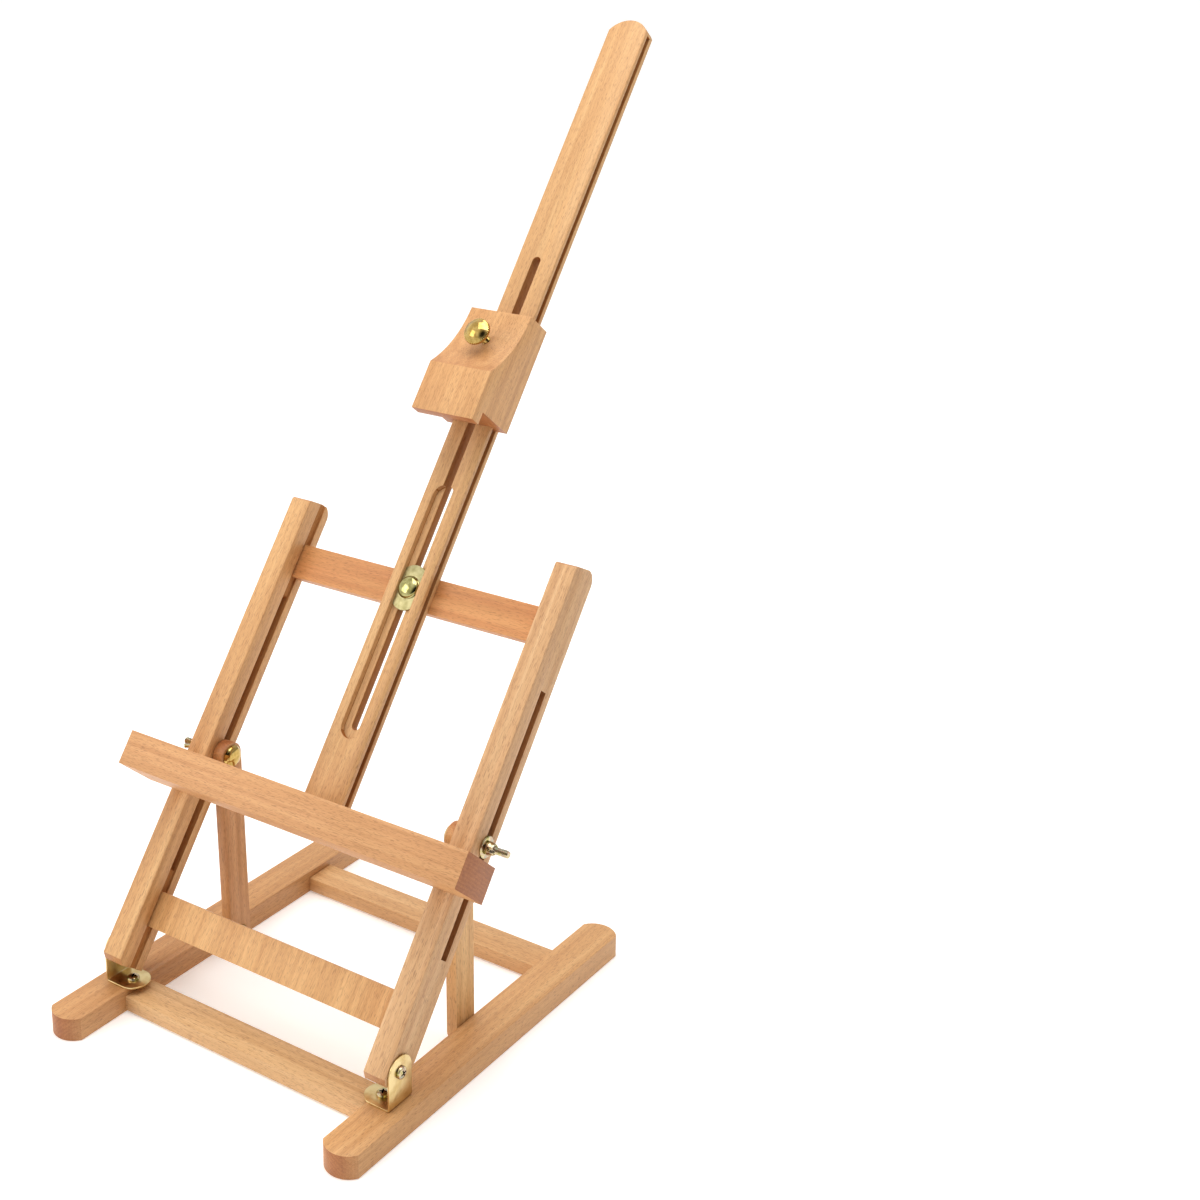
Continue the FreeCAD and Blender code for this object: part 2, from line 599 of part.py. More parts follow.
ledge = new_body("canvas_ledge")
shape(ledge, "Pad", "YZ", "-ledge_half_length", "ledge_half_length +ledge_half_length", [
    [("-ledge_depth", "ledge_s +ledge_rise"), ("0", "ledge_s"), ("0", "ledge_s +ledge_height"),
     ("-ledge_depth", "ledge_s +ledge_rise +ledge_height")]])
for _, side in SIDES:
    shape(ledge, "Pocket", "XZ", "-ledge_dowel_depth", "ledge_dowel_depth",
          [("circle", "upright_mid_x", place, "dowel_hole")
           for place in ("ledge_dowel_low", "ledge_dowel_high")], side)
lean_back(ledge)
fitting("ledge_dowels", [
    rod(size("dowel_radius"),
        (side * size("upright_mid_x"), -size("ledge_dowel_depth -face_gap"), size(place)),
        (side * size("upright_mid_x"), size("ledge_dowel_tail -face_gap"), size(place)))
    for _, side in SIDES for place in ("ledge_dowel_low", "ledge_dowel_high")], lean_back)

# Mast: slotted, recessed for the clamp plate, grooved down both edges.

mast = new_body("mast")
shape(mast, "Pad", "XZ", "mast_front", "mast_thick", [
    [("-mast_half_width", "mast_low"), ("mast_half_width", "mast_low"),
     ("mast_half_width", "mast_shoulder", "radius", "mast_end_radius", -1),
     ("-mast_half_width", "mast_shoulder")],
    stadium("-mast_slot_half", "mast_slot_half", "mast_slot_low_centre", "mast_slot_high_centre")])
shape(mast, "Pocket", "XZ", "mast_front", "recess_depth", [
    stadium("-recess_half", "recess_half", "recess_low_centre", "recess_high_centre")])
shape(mast, "Pocket", "XY", "mast_low", "mast_groove_high -mast_low", [
    rectangle("mast_groove_x", "mast_half_width", "mast_groove_front", "mast_groove_back"),
    rectangle("-mast_half_width", "-mast_groove_x", "mast_groove_front", "mast_groove_back")])
lean_back(mast)

# Mast clamp: domed bolt through the plate, the mast's slot and the upper crossbar.

plate = new_body("mast_clamp_plate")
shape(plate, "Pad", "XZ", "clamp_front", "clamp_thick", [
    [("-clamp_half_width", "clamp_low", "radius", "clamp_end_radius", -1),
     ("clamp_half_width", "clamp_low"),
     ("clamp_half_width", "clamp_high", "radius", "clamp_end_radius", -1),
     ("-clamp_half_width", "clamp_high")],
    ("circle", "0", "upper_bar_s", "hole_radius")])
lean_back(plate)
fitting("mast_clamp_bolt", [
    aimed(domed_bolt(size("head_radius"), size("head_height"), size("bolt_radius"),
                     size("clamp_bolt_length")),
          (0, size("clamp_front"), size("upper_bar_s")), (0, 1, 0))], lean_back)
washer = ring(size("washer_radius"), size("hole_radius"), size("washer_thick"))
bar_back = size("bar_front +bar_thick")
fitting("mast_clamp_washer", [
    aimed(washer, (0, bar_back, size("upper_bar_s")), (0, 1, 0))], lean_back)
fitting("mast_clamp_wing_nut", [
    aimed(wing_nut(), (0, bar_back + size("washer_thick +face_gap"), size("upper_bar_s")), (0, 1, 0))],
    lean_back)

# Top holder block: coved front over a lip, rebated and tongued to run on the mast.

block = new_body("top_holder_block")
shape(block, "Pad", "YZ", "-holder_half_width", "holder_half_width +holder_half_width", [
    [("holder_lip_front", "holder_bottom"), ("holder_lip_back", "holder_bottom"),
     ("holder_lip_back", "holder_notch"), ("holder_back", "holder_notch"),
     ("holder_back", "holder_top"), ("holder_top_front", "holder_top", "radius", "holder_cove_radius", 1),
     ("holder_lip_front", "holder_lip_top")]])
shape(block, "Pocket", "XY", "holder_notch", "holder_top -holder_notch", [
    [("-holder_seat_half", "holder_seat"), ("holder_seat_half", "holder_seat"),
     ("holder_seat_half", "holder_tongue_front"), ("holder_tongue_half", "holder_tongue_front"),
     ("holder_tongue_half", "holder_back"), ("-holder_tongue_half", "holder_back"),
     ("-holder_tongue_half", "holder_tongue_front"), ("-holder_seat_half", "holder_tongue_front")]])
shape(block, "Pocket", "XZ", "holder_lip_front", "holder_seat -holder_lip_front",
      [("circle", "0", "knob_s", "insert_hole")])
shape(block, "Pocket", "XZ", "pad_floor", "pad_pocket",
      [rectangle("-pad_clear", "pad_clear", "knob_s -pad_clear", "knob_s +pad_clear")])
lean_back(block)

insert_length = size("pad_floor +22")
fitting("holder_insert", [
    aimed(ring(size("insert_radius"), size("insert_bore"), insert_length),
          (0, size("pad_floor") - insert_length, size("knob_s")), (0, 1, 0))], lean_back)
pad = Part.makeBox(size("pad_half +pad_half"), size("pad_thick"), size("pad_half +pad_half"),
                   FreeCAD.Vector(-size("pad_half"), size("holder_seat -pad_thick"),
                                  size("knob_s -pad_half")))
fitting("holder_pressure_plate", [pad], lean_back)
face = size("knob_front")
knob_r = size("knob_radius")
tip = size("holder_seat -pad_thick -face_gap") - face
back = size("knob_thick")
collar = back + size("knob_collar")
fitting("knob_screw", [aimed(turned([
    (0, 0), (knob_r * 0.86, 0), (knob_r, 1.2), (knob_r, back - 1.2), (knob_r * 0.86, back),
    (knob_r * 0.6, back), (knob_r * 0.45, collar), (size("bolt_radius"), collar),
    (size("bolt_radius"), tip), (0, tip)]), (0, face, size("knob_s")), (0, 1, 0))], lean_back)

# Side struts, their slot bolts with wing nuts, and their foot screws.

for name, side in SIDES:
    strut = new_body(name + "_strut")
    across(strut, "Pad", "strut_inner_x", "strut_thick", [
        stadium("-strut_half", "strut_half", "-strut_length", "0"),
        ("circle", "0", "0", "hole_radius"),
        ("circle", "0", "-strut_length", "hole_radius")], side)
    strut.Placement = FreeCAD.Placement(
        FreeCAD.Vector(0, size("strut_head_y"), size("strut_head_z")),
        FreeCAD.Rotation(FreeCAD.Vector(1, 0, 0), math.degrees(
            math.atan2(size("strut_run"), size("strut_drop")))))
    strut.setExpression("Placement.Base.y", "Sizes.strut_head_y")
    strut.setExpression("Placement.Base.z", "Sizes.strut_head_z")
    strut.setExpression("Placement.Rotation.Angle", "atan(Sizes.strut_run / Sizes.strut_drop)")

for name, side in SIDES:
    out = (side, 0, 0)
    head_y, head_z = size("strut_head_y"), size("strut_head_z")
    under_head = size("strut_inner_x -face_gap")
    washer_x = size("upright_outer_x") + size("face_gap") / 2
    fitting(name + "_strut_bolt", [
        aimed(domed_bolt(size("head_radius"), size("head_height"), size("bolt_radius"),
                         size("stud_end_x") - under_head),
              (side * under_head, head_y, head_z), out)])
    fitting(name + "_washer", [aimed(washer, (side * washer_x, head_y, head_z), out)])
    fitting(name + "_wing_nut", [
        aimed(wing_nut(), (side * (washer_x + size("washer_thick +face_gap")), head_y, head_z), out,
              spin=90.0 - size("lean") * side)])
    fitting(name + "_strut_pivot_screw", [
        aimed(domed_bolt(size("pivot_head_radius"), size("pivot_head_height"), size("bolt_radius"),
                         size("strut_thick +face_gap +face_gap")),
              (side * under_head, size("base_y +strut_foot_y"), size("strut_foot_z")), out)])

fitting("strut_pivot_inserts", [
    aimed(ring(size("insert_radius"), size("insert_bore"), size("rail_insert_length")),
          (side * size("rail_inner_x"), size("strut_foot_y"), size("strut_foot_z")), (side, 0, 0))
    for _, side in SIDES], stand_on_base)

doc.recompute()
for item in doc.Objects:
    if "Invalid" in item.State or "Error" in item.State:
        raise RuntimeError(f"{item.Label}: {item.State}")
for part in parts:
    if part.Shape.isNull() or not part.Shape.isValid():
        raise RuntimeError(f"{part.Label}: bad shape")

os.makedirs("parts", exist_ok=True)
for part in parts:
    part.Shape.exportStep(f"parts/{part.Label}.step")
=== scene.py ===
"""Folding tabletop easel in natural beech with brass and yellow-passivated hardware."""
import math
import bmesh
import bpy
from mathutils import Matrix, Vector
from mathutils.bvhtree import BVHTree


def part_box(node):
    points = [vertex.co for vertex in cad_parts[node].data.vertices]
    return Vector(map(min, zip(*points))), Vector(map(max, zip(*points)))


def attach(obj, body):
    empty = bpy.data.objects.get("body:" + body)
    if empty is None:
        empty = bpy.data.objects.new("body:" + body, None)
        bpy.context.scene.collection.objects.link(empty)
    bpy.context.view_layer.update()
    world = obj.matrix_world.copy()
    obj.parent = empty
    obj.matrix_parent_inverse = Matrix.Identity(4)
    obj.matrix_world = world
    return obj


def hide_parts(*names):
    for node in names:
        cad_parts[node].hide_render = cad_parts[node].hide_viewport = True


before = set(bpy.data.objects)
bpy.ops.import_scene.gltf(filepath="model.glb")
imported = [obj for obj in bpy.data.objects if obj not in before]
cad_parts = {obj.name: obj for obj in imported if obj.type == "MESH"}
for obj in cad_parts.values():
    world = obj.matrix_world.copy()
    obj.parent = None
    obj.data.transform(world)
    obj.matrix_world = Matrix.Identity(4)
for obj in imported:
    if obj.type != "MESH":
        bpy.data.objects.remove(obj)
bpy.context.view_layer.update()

# ---------------------------------------------------------------------------------------
# Viewpoint and studio.  Seen from in front on the painter's right and a little above, on
# a pale sweep, under one large soft lamp overhead and one high on the left in front.
# ---------------------------------------------------------------------------------------

turn, rise, tilt = math.radians(35.34), math.radians(18.02), math.radians(0.196)
looking = Vector((-math.sin(turn) * math.cos(rise), math.cos(turn) * math.cos(rise), -math.sin(rise)))
level = Vector((math.cos(turn), math.sin(turn), 0.0))
upward = level.cross(looking)
side_axis = level * math.cos(tilt) + upward * math.sin(tilt)
up_axis = upward * math.cos(tilt) - level * math.sin(tilt)
aim = Vector((0.0, -0.1599, 0.192))
camera_data = bpy.data.cameras.new("viewpoint")
camera_data.sensor_width = 36.0
camera_data.lens = 55.27
camera_data.shift_x = 0.1025
camera_data.shift_y = -0.1018
camera_data.clip_end = 20.0
camera = bpy.data.objects.new("viewpoint", camera_data)
sideways, raised, away = 0.1319, 0.25897, 1.4723
spot = aim + side_axis * sideways + up_axis * raised - looking * away
camera.matrix_world = Matrix((
    (side_axis.x, up_axis.x, -looking.x, spot.x),
    (side_axis.y, up_axis.y, -looking.y, spot.y),
    (side_axis.z, up_axis.z, -looking.z, spot.z),
    (0.0, 0.0, 0.0, 1.0)))
bpy.context.scene.collection.objects.link(camera)
bpy.context.scene.camera = camera
bpy.context.scene.view_settings.view_transform = "Standard"


def linear(hex_colour):
    """sRGB hex to the linear RGBA that shaders take."""
    channels = [int(hex_colour[i:i + 2], 16) / 255 for i in (1, 3, 5)]
    return tuple(c / 12.92 if c <= 0.04045 else ((c + 0.055) / 1.055) ** 2.4 for c in channels) + (1.0,)


def add(tree, kind, inputs=None, **settings):
    """Add a node; inputs maps socket name or number to a value or to another node's output."""
    made = tree.nodes.new(kind)
    for name, value in settings.items():
        setattr(made, name, value)
    for key, value in (inputs or {}).items():
        if isinstance(value, bpy.types.NodeSocket):
            tree.links.new(value, made.inputs[key])
        else:
            made.inputs[key].default_value = value
    return made


def new_material(name):
    material = bpy.data.materials.new(name)
    material.use_nodes = True
    material.node_tree.nodes.clear()
    return material, material.node_tree


def ramp(tree, fac, stops, mode="LINEAR"):
    """Colour ramp from (position, hex) stops."""
    made = add(tree, "ShaderNodeValToRGB", {0: fac})
    made.color_ramp.interpolation = mode
    marks = made.color_ramp.elements
    while len(marks) < len(stops):
        marks.new(0.5)
    for mark, (place, colour) in zip(marks, stops):
        mark.position = place
        mark.color = linear(colour)
    return made.outputs["Color"]


floor_half, floor_drop = 30, 0.0006
floor_mesh = bpy.data.meshes.new("sweep")
floor_mesh.from_pydata([(-floor_half, -floor_half, 0), (floor_half, -floor_half, 0),
                        (floor_half, floor_half, 0), (-floor_half, floor_half, 0)], [], [(0, 1, 2, 3)])
floor_mesh.transform(Matrix.Translation((0, 0, -floor_drop)))
floor = bpy.data.objects.new("sweep", floor_mesh)
bpy.context.scene.collection.objects.link(floor)
paper, tree = new_material("white_paper")
shader = add(tree, "ShaderNodeBsdfPrincipled", {"Base Color": linear("#fafafa"), "Roughness": 0.9,
                                                "Emission Color": linear("#ffffff"),
                                                "Emission Strength": 0.24})
add(tree, "ShaderNodeOutputMaterial", {"Surface": shader.outputs[0]})
floor_mesh.materials.append(paper)

world = bpy.data.worlds.new("studio")
world.use_nodes = True
world.node_tree.nodes.clear()
# The room is brightest behind the key lamp and dim opposite it, which the brass needs.
facing = add(world.node_tree, "ShaderNodeTexCoord").outputs["Generated"]
toward_key = add(world.node_tree, "ShaderNodeVectorMath", {0: facing, 1: (-0.62, -0.52, 0.59)},
                 operation="DOT_PRODUCT")
level_of = add(world.node_tree, "ShaderNodeMapRange", {
    "Value": toward_key.outputs["Value"], "From Min": -1.0, "From Max": 1.0, "To Min": 0.38, "To Max": 1.2})
# A soft black flag to the right of the viewpoint.
toward_flag = add(world.node_tree, "ShaderNodeVectorMath", {0: facing, 1: (0.75, -0.60, 0.28)},
                  operation="DOT_PRODUCT")
flag = add(world.node_tree, "ShaderNodeMapRange", {
    "Value": toward_flag.outputs["Value"], "From Min": 0.66, "From Max": 0.90,
    "To Min": 1.0, "To Max": 0.03})
lit = add(world.node_tree, "ShaderNodeMath", {0: level_of.outputs[0], 1: flag.outputs[0]},
          operation="MULTIPLY")
glow = add(world.node_tree, "ShaderNodeBackground", {"Color": linear("#fffdfa"),
                                                     "Strength": lit.outputs[0]})
add(world.node_tree, "ShaderNodeOutputWorld", {"Surface": glow.outputs[0]})
bpy.context.scene.world = world


def softbox(name, place, target, width, height, watts, colour):
    data = bpy.data.lights.new(name, "AREA")
    data.shape = "RECTANGLE"
    data.size = width
    data.size_y = height
    data.energy = watts
    data.color = linear(colour)[:3]
    lamp = bpy.data.objects.new(name, data)
    lamp.location = place
    lamp.rotation_euler = (Vector(target) - Vector(place)).to_track_quat("-Z", "Y").to_euler()
    bpy.context.scene.collection.objects.link(lamp)


softbox("key_softbox", (-1.5, -1.9, 1.5), (0, 0, 0.3), 1.4, 1.4, 15, "#fffaf2")
softbox("top_softbox", (0.2, 0.1, 2.2), (0, 0, 0.2), 1.6, 1.6, 24, "#ffffff")

# ---------------------------------------------------------------------------------------
# Beech parts.  Steam-softened beech planed to battens, arrises eased with fine abrasive
# and left unvarnished: pale tan, dull, with short brown ray flecks along the grain and a
# browner, thirstier end grain.
# ---------------------------------------------------------------------------------------

beech, tree = new_material("natural_beech")
# "grain" runs in metres along, across and through each batten, so the figure follows it.
grain = add(tree, "ShaderNodeAttribute", attribute_name="grain").outputs["Vector"]
end_face = add(tree, "ShaderNodeAttribute", attribute_name="end_grain").outputs["Fac"]
redness = add(tree, "ShaderNodeAttribute", attribute_name="redness").outputs["Fac"]
# Growth rings: bands about 5 mm apart across the stock, drawn out over 300 mm along it.
stretched = add(tree, "ShaderNodeMapping", {"Vector": grain, "Scale": (3.2, 190.0, 190.0)})
rings = add(tree, "ShaderNodeTexNoise", {"Vector": stretched.outputs[0], "Scale": 1.0, "Detail": 3.0,
                                         "Roughness": 0.55, "Distortion": 0.35})
# Fibres: fine streaks, 0.7 mm across and 16 mm long.
fibre_map = add(tree, "ShaderNodeMapping", {"Vector": grain, "Scale": (60.0, 1500.0, 1500.0)})
fibres = add(tree, "ShaderNodeTexNoise", {"Vector": fibre_map.outputs[0], "Scale": 1.0, "Detail": 2.0,
                                          "Roughness": 0.6})
# Rays: dashes about 0.5 mm across and 5 mm long.
ray_map = add(tree, "ShaderNodeMapping", {"Vector": grain, "Scale": (210.0, 2100.0, 2100.0)})
rays = add(tree, "ShaderNodeTexNoise", {"Vector": ray_map.outputs[0], "Scale": 1.0, "Detail": 0.0,
                                        "Distortion": 0.2})
# Slow drift of colour from board to board and along each board.
drift_map = add(tree, "ShaderNodeMapping", {"Vector": grain, "Scale": (7.0, 45.0, 45.0)})
drift = add(tree, "ShaderNodeTexNoise", {"Vector": drift_map.outputs[0], "Scale": 1.0, "Detail": 2.0})
ground = ramp(tree, rings.outputs["Fac"], [(0.30, "#c3925f"), (0.50, "#d2a26e"), (0.70, "#dcb07c")])
warm = add(tree, "ShaderNodeMix", {6: ground, 7: linear("#e39c72")}, data_type="RGBA",
           blend_type="MULTIPLY")
tree.links.new(redness, warm.inputs["Factor"])
patchy = add(tree, "ShaderNodeMix", {6: warm.outputs[2], 7: linear("#c08a55")}, data_type="RGBA")
patch_amount = add(tree, "ShaderNodeMapRange", {"Value": drift.outputs["Fac"], "From Min": 0.45,
                                                "From Max": 0.8, "To Min": 0.0, "To Max": 0.55})
tree.links.new(patch_amount.outputs[0], patchy.inputs["Factor"])
streaky = add(tree, "ShaderNodeMix", {6: patchy.outputs[2], 7: linear("#a87443")}, data_type="RGBA")
streak_amount = add(tree, "ShaderNodeMapRange", {"Value": fibres.outputs["Fac"], "From Min": 0.52,
                                                 "From Max": 0.74, "To Min": 0.0, "To Max": 0.5})
tree.links.new(streak_amount.outputs[0], streaky.inputs["Factor"])
flecked = add(tree, "ShaderNodeMix", {6: streaky.outputs[2], 7: linear("#7c4a28")}, data_type="RGBA")
fleck_amount = add(tree, "ShaderNodeMapRange", {"Value": rays.outputs["Fac"], "From Min": 0.61,
                                                "From Max": 0.70, "To Min": 0.0, "To Max": 0.42})
tree.links.new(fleck_amount.outputs[0], flecked.inputs["Factor"])
# Sawn ends show the rings as arcs about 3 mm apart, from a pith outside the stock.
end_map = add(tree, "ShaderNodeMapping", {"Vector": grain, "Scale": (0.0, 110.0, 110.0)})
arcs = add(tree, "ShaderNodeTexWave", {"Vector": end_map.outputs[0], "Scale": 1.0, "Distortion": 4.0,
                                       "Detail": 3.0}, wave_type="RINGS", rings_direction="X")
end_colour = ramp(tree, arcs.outputs["Fac"], [(0.2, "#c0926a"), (0.8, "#cda27a")])
thirsty = add(tree, "ShaderNodeMix", {6: flecked.outputs[2], 7: end_colour}, data_type="RGBA",
              blend_type="MULTIPLY")
end_amount = add(tree, "ShaderNodeMath", {0: end_face, 1: 0.85}, operation="MULTIPLY")
tree.links.new(end_amount.outputs[0], thirsty.inputs["Factor"])
# Sawn slots and grooves are left rough and duller, and their faces are painted darker brown: mostly painted
# shade, partly the darker colour of sawn wood.
recess = add(tree, "ShaderNodeAttribute", attribute_name="recess").outputs["Fac"]
slot_shaded = add(tree, "ShaderNodeMix", {6: thirsty.outputs[2], 7: linear("#8c4a12")}, data_type="RGBA")
slot_shade_amount = add(tree, "ShaderNodeMath", {0: recess, 1: 0.6}, operation="MULTIPLY")
tree.links.new(slot_shade_amount.outputs[0], slot_shaded.inputs["Factor"])
# Each board is its own shade of the same wood.
tone = add(tree, "ShaderNodeAttribute", attribute_name="tone").outputs["Vector"]
toned = add(tree, "ShaderNodeVectorMath", {0: slot_shaded.outputs[2], 1: tone}, operation="MULTIPLY")
relief = add(tree, "ShaderNodeMath", {0: fibres.outputs["Fac"], 1: fleck_amount.outputs[0]},
             operation="SUBTRACT")
bump = add(tree, "ShaderNodeBump", {"Strength": 0.16, "Distance": 0.00012, "Height": relief.outputs[0]})
roughness = add(tree, "ShaderNodeMapRange", {"Value": rings.outputs["Fac"], "To Min": 0.44, "To Max": 0.60})
shader = add(tree, "ShaderNodeBsdfPrincipled", {
    "Base Color": toned.outputs[0], "Roughness": roughness.outputs[0], "Normal": bump.outputs[0]})
shader.inputs["IOR"].default_value = 1.5
dull = add(tree, "ShaderNodeMapRange", {"Value": recess, "To Min": 0.5, "To Max": 0.05})
tree.links.new(dull.outputs[0], shader.inputs["Specular IOR Level"])
add(tree, "ShaderNodeOutputMaterial", {"Surface": shader.outputs[0]})


def baked(carrier, name):
    """The evaluated mesh of an object with live modifiers, as a new plain object."""
    bpy.context.view_layer.update()
    mesh = bpy.data.meshes.new_from_object(carrier.evaluated_get(bpy.context.evaluated_depsgraph_get()))
    mesh.name = name
    bpy.data.objects.remove(carrier)
    piece = bpy.data.objects.new(name, mesh)
    bpy.context.scene.collection.objects.link(piece)
    return piece


def eased_copy(node, name, width, segments=2):
    """A merged copy of an exact solid with its sharp edges rubbed round."""
    work = bmesh.new()
    work.from_mesh(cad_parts[node].data)
    bmesh.ops.remove_doubles(work, verts=work.verts, dist=2e-6)
    bmesh.ops.dissolve_limit(work, angle_limit=math.radians(0.5), verts=work.verts, edges=work.edges)
    mesh = bpy.data.meshes.new(name)
    work.to_mesh(mesh)
    work.free()
    carrier = bpy.data.objects.new(name, mesh)
    bpy.context.scene.collection.objects.link(carrier)
    easing = carrier.modifiers.new("eased", "BEVEL")
    easing.width = width
    easing.segments = segments
    easing.limit_method = "ANGLE"
    easing.angle_limit = math.radians(38)
    easing.use_clamp_overlap = True
    easing.miter_outer = "MITER_ARC"
    return baked(carrier, name)


def smooth(piece, degrees):
    for polygon in piece.data.polygons:
        polygon.use_smooth = True
    piece.data.set_sharp_from_angle(angle=math.radians(degrees))


# How far a recess's opposite wall and side walls are looked for, and the start off the face.
opposite_reach, wall_reach, clearance = 0.012, 0.009, 0.00005


def in_recess(tree, polygon):
    """True for a face that looks across a slot or up out of a groove of its own piece."""
    normal = polygon.normal
    start = polygon.center + normal * clearance
    if tree.ray_cast(start, normal, opposite_reach)[0] is not None:
        return True
    flat = normal.orthogonal().normalized()
    other = normal.cross(flat)
    for step in range(4):
        sideways = flat * math.cos(math.pi * step / 4) + other * math.sin(math.pi * step / 4)
        walls = [tree.ray_cast(start, (sideways * way + normal * 0.3).normalized(), wall_reach)[0]
                 for way in (-1, 1)]
        if None not in walls:
            return True
    return False


def mark_recesses(mesh):
    sunk = mesh.attributes.new("recess", "FLOAT", "FACE")
    inside = BVHTree.FromPolygons([v.co for v in mesh.vertices], [p.vertices for p in mesh.polygons])
    for polygon in mesh.polygons:
        sunk.data[polygon.index].value = in_recess(inside, polygon)


def batten(node, body, along, through, width=0.0009, shift=(0.0, 0.0, 0.0), red=0.0,
           tone=(1.0, 1.0, 1.0), figured=False):
    """Ease one wooden part and lay its grain; a figured one shows its rays across the length."""
    piece = eased_copy(node, "beech_" + node, width)
    smooth(piece, 35)
    along = Vector(along).normalized()
    through = Vector(through).normalized()
    across = along.cross(through)
    mesh = piece.data
    mark_recesses(mesh)
    # A reference to an attribute is lost when another is added, so all are made before any is filled.
    for label, kind, domain in (("grain", "FLOAT_VECTOR", "POINT"), ("end_grain", "FLOAT", "FACE"),
                                ("redness", "FLOAT", "FACE"), ("tone", "FLOAT_VECTOR", "FACE")):
        mesh.attributes.new(label, kind, domain)
    first, second = (across, along) if figured else (along, across)
    for vertex, place in zip(mesh.vertices, mesh.attributes["grain"].data):
        place.vector = (vertex.co.dot(first) + shift[0], vertex.co.dot(second) + shift[1],
                        vertex.co.dot(through) + shift[2])
    for polygon, end in zip(mesh.polygons, mesh.attributes["end_grain"].data):
        end.value = abs(polygon.normal.dot(along)) ** 2
    for tint in mesh.attributes["redness"].data:
        tint.value = red
    for shade in mesh.attributes["tone"].data:
        shade.vector = tone
    mesh.materials.clear()
    mesh.materials.append(beech)
    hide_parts(node)
    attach(piece, body)
    return piece


lean = math.radians(37.58)
up_frame = (0.0, math.sin(lean), math.cos(lean))
back_frame = (0.0, math.cos(lean), -math.sin(lean))
batten("left_base_rail", "base", (0, 1, 0), (0, 0, 1), shift=(0.3, 0.02, 0.11), red=0.15,
       tone=(0.92, 0.89, 0.82))
batten("right_base_rail", "base", (0, 1, 0), (0, 0, 1), shift=(1.3, 0.12, 0.31), red=0.1,
       tone=(1.02, 1.02, 0.97))
batten("front_base_crossbar", "base", (1, 0, 0), (0, 0, 1), shift=(2.1, 0.52, 0.01), red=0.1,
       tone=(1.1, 1.25, 1.38))
batten("rear_base_crossbar", "base", (1, 0, 0), (0, 0, 1), shift=(3.1, 0.25, 0.71), red=0.1,
       tone=(1.06, 1.12, 1.15))
batten("left_upright", "frame", up_frame, back_frame, shift=(4.3, 0.92, 0.4),
       tone=(1.0, 0.98, 0.92))
batten("right_upright", "frame", up_frame, back_frame, shift=(5.3, 0.17, 0.9),
       tone=(0.96, 0.98, 1.06))
batten("upper_crossbar", "frame", (1, 0, 0), back_frame, shift=(6.3, 0.37, 0.2), red=0.6,
       tone=(1.05, 1.13, 1.06))
batten("lower_crossbar", "frame", (1, 0, 0), back_frame, shift=(7.3, 0.77, 0.6), figured=True,
       tone=(1.08, 1.07, 1.0))
batten("canvas_ledge", "frame", (1, 0, 0), back_frame, width=0.0014, shift=(8.3, 0.47, 0.3), red=0.25,
       tone=(0.98, 0.98, 0.96))
batten("mast", "mast", up_frame, back_frame, width=0.0007, shift=(9.3, 0.67, 0.8),
       tone=(0.95, 0.95, 0.91))
batten("top_holder_block", "holder", up_frame, back_frame, width=0.001, shift=(10.3, 0.27, 0.5),
       tone=(0.99, 0.94, 0.86))
batten("left_strut", "left_strut", (0, 0, 1), (1, 0, 0), shift=(11.3, 0.07, 0.1), red=0.35,
       tone=(0.9, 0.9, 0.82))
batten("right_strut", "right_strut", (0, 0, 1), (1, 0, 0), shift=(12.3, 0.87, 0.35), red=0.1,
       tone=(1.13, 1.22, 1.18))

# ---------------------------------------------------------------------------------------
# Dowels.  Turned beech pins glued across the joints, hidden once the parts are together.
# ---------------------------------------------------------------------------------------

dowel_wood, tree = new_material("dowel_beech")
place = add(tree, "ShaderNodeTexCoord").outputs["Object"]
speckle = add(tree, "ShaderNodeTexNoise", {"Vector": place, "Scale": 900.0, "Detail": 2.0})
colour = ramp(tree, speckle.outputs["Fac"], [(0.35, "#b98a5c"), (0.65, "#d8ac7c")])
shader = add(tree, "ShaderNodeBsdfPrincipled", {"Base Color": colour, "Roughness": 0.6})
add(tree, "ShaderNodeOutputMaterial", {"Surface": shader.outputs[0]})
for node in ("base_dowels", "frame_dowels", "ledge_dowels"):
    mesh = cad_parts[node].data
    mesh.materials.clear()
    mesh.materials.append(dowel_wood)

# ---------------------------------------------------------------------------------------
# Foot brackets.  Steel strip pressed into an angle with rounded leaves, brass plated over
# a satin ground: soft gold with faint rolling marks.
# ---------------------------------------------------------------------------------------

satin_brass, tree = new_material("satin_brass_plate")
place = add(tree, "ShaderNodeTexCoord").outputs["Object"]
marks_map = add(tree, "ShaderNodeMapping", {"Vector": place, "Scale": (2600.0, 120.0, 120.0)})
marks = add(tree, "ShaderNodeTexNoise", {"Vector": marks_map.outputs[0], "Scale": 1.0, "Detail": 3.0})
cloud = add(tree, "ShaderNodeTexNoise", {"Vector": place, "Scale": 90.0, "Detail": 3.0})
colour = ramp(tree, cloud.outputs["Fac"], [(0.35, "#cbb078"), (0.6, "#e2cd98")])
roughness = add(tree, "ShaderNodeMapRange", {"Value": cloud.outputs["Fac"], "To Min": 0.24, "To Max": 0.36})
bump = add(tree, "ShaderNodeBump", {"Strength": 0.08, "Distance": 0.00003, "Height": marks.outputs["Fac"]})
shader = add(tree, "ShaderNodeBsdfPrincipled", {"Base Color": colour, "Metallic": 1.0,
                                                "Roughness": roughness.outputs[0],
                                                "Normal": bump.outputs[0]})
add(tree, "ShaderNodeOutputMaterial", {"Surface": shader.outputs[0]})


def metal_piece(piece, body, material, nodes, angle=35):
    smooth(piece, angle)
    piece.data.materials.clear()
    piece.data.materials.append(material)
    if nodes:
        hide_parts(*nodes)
    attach(piece, body)


for side in ("left", "right"):
    leaf = eased_copy(side + "_foot_bracket", side + "_bracket_plate", 0.0004)
    metal_piece(leaf, "base", satin_brass, [side + "_foot_bracket"])

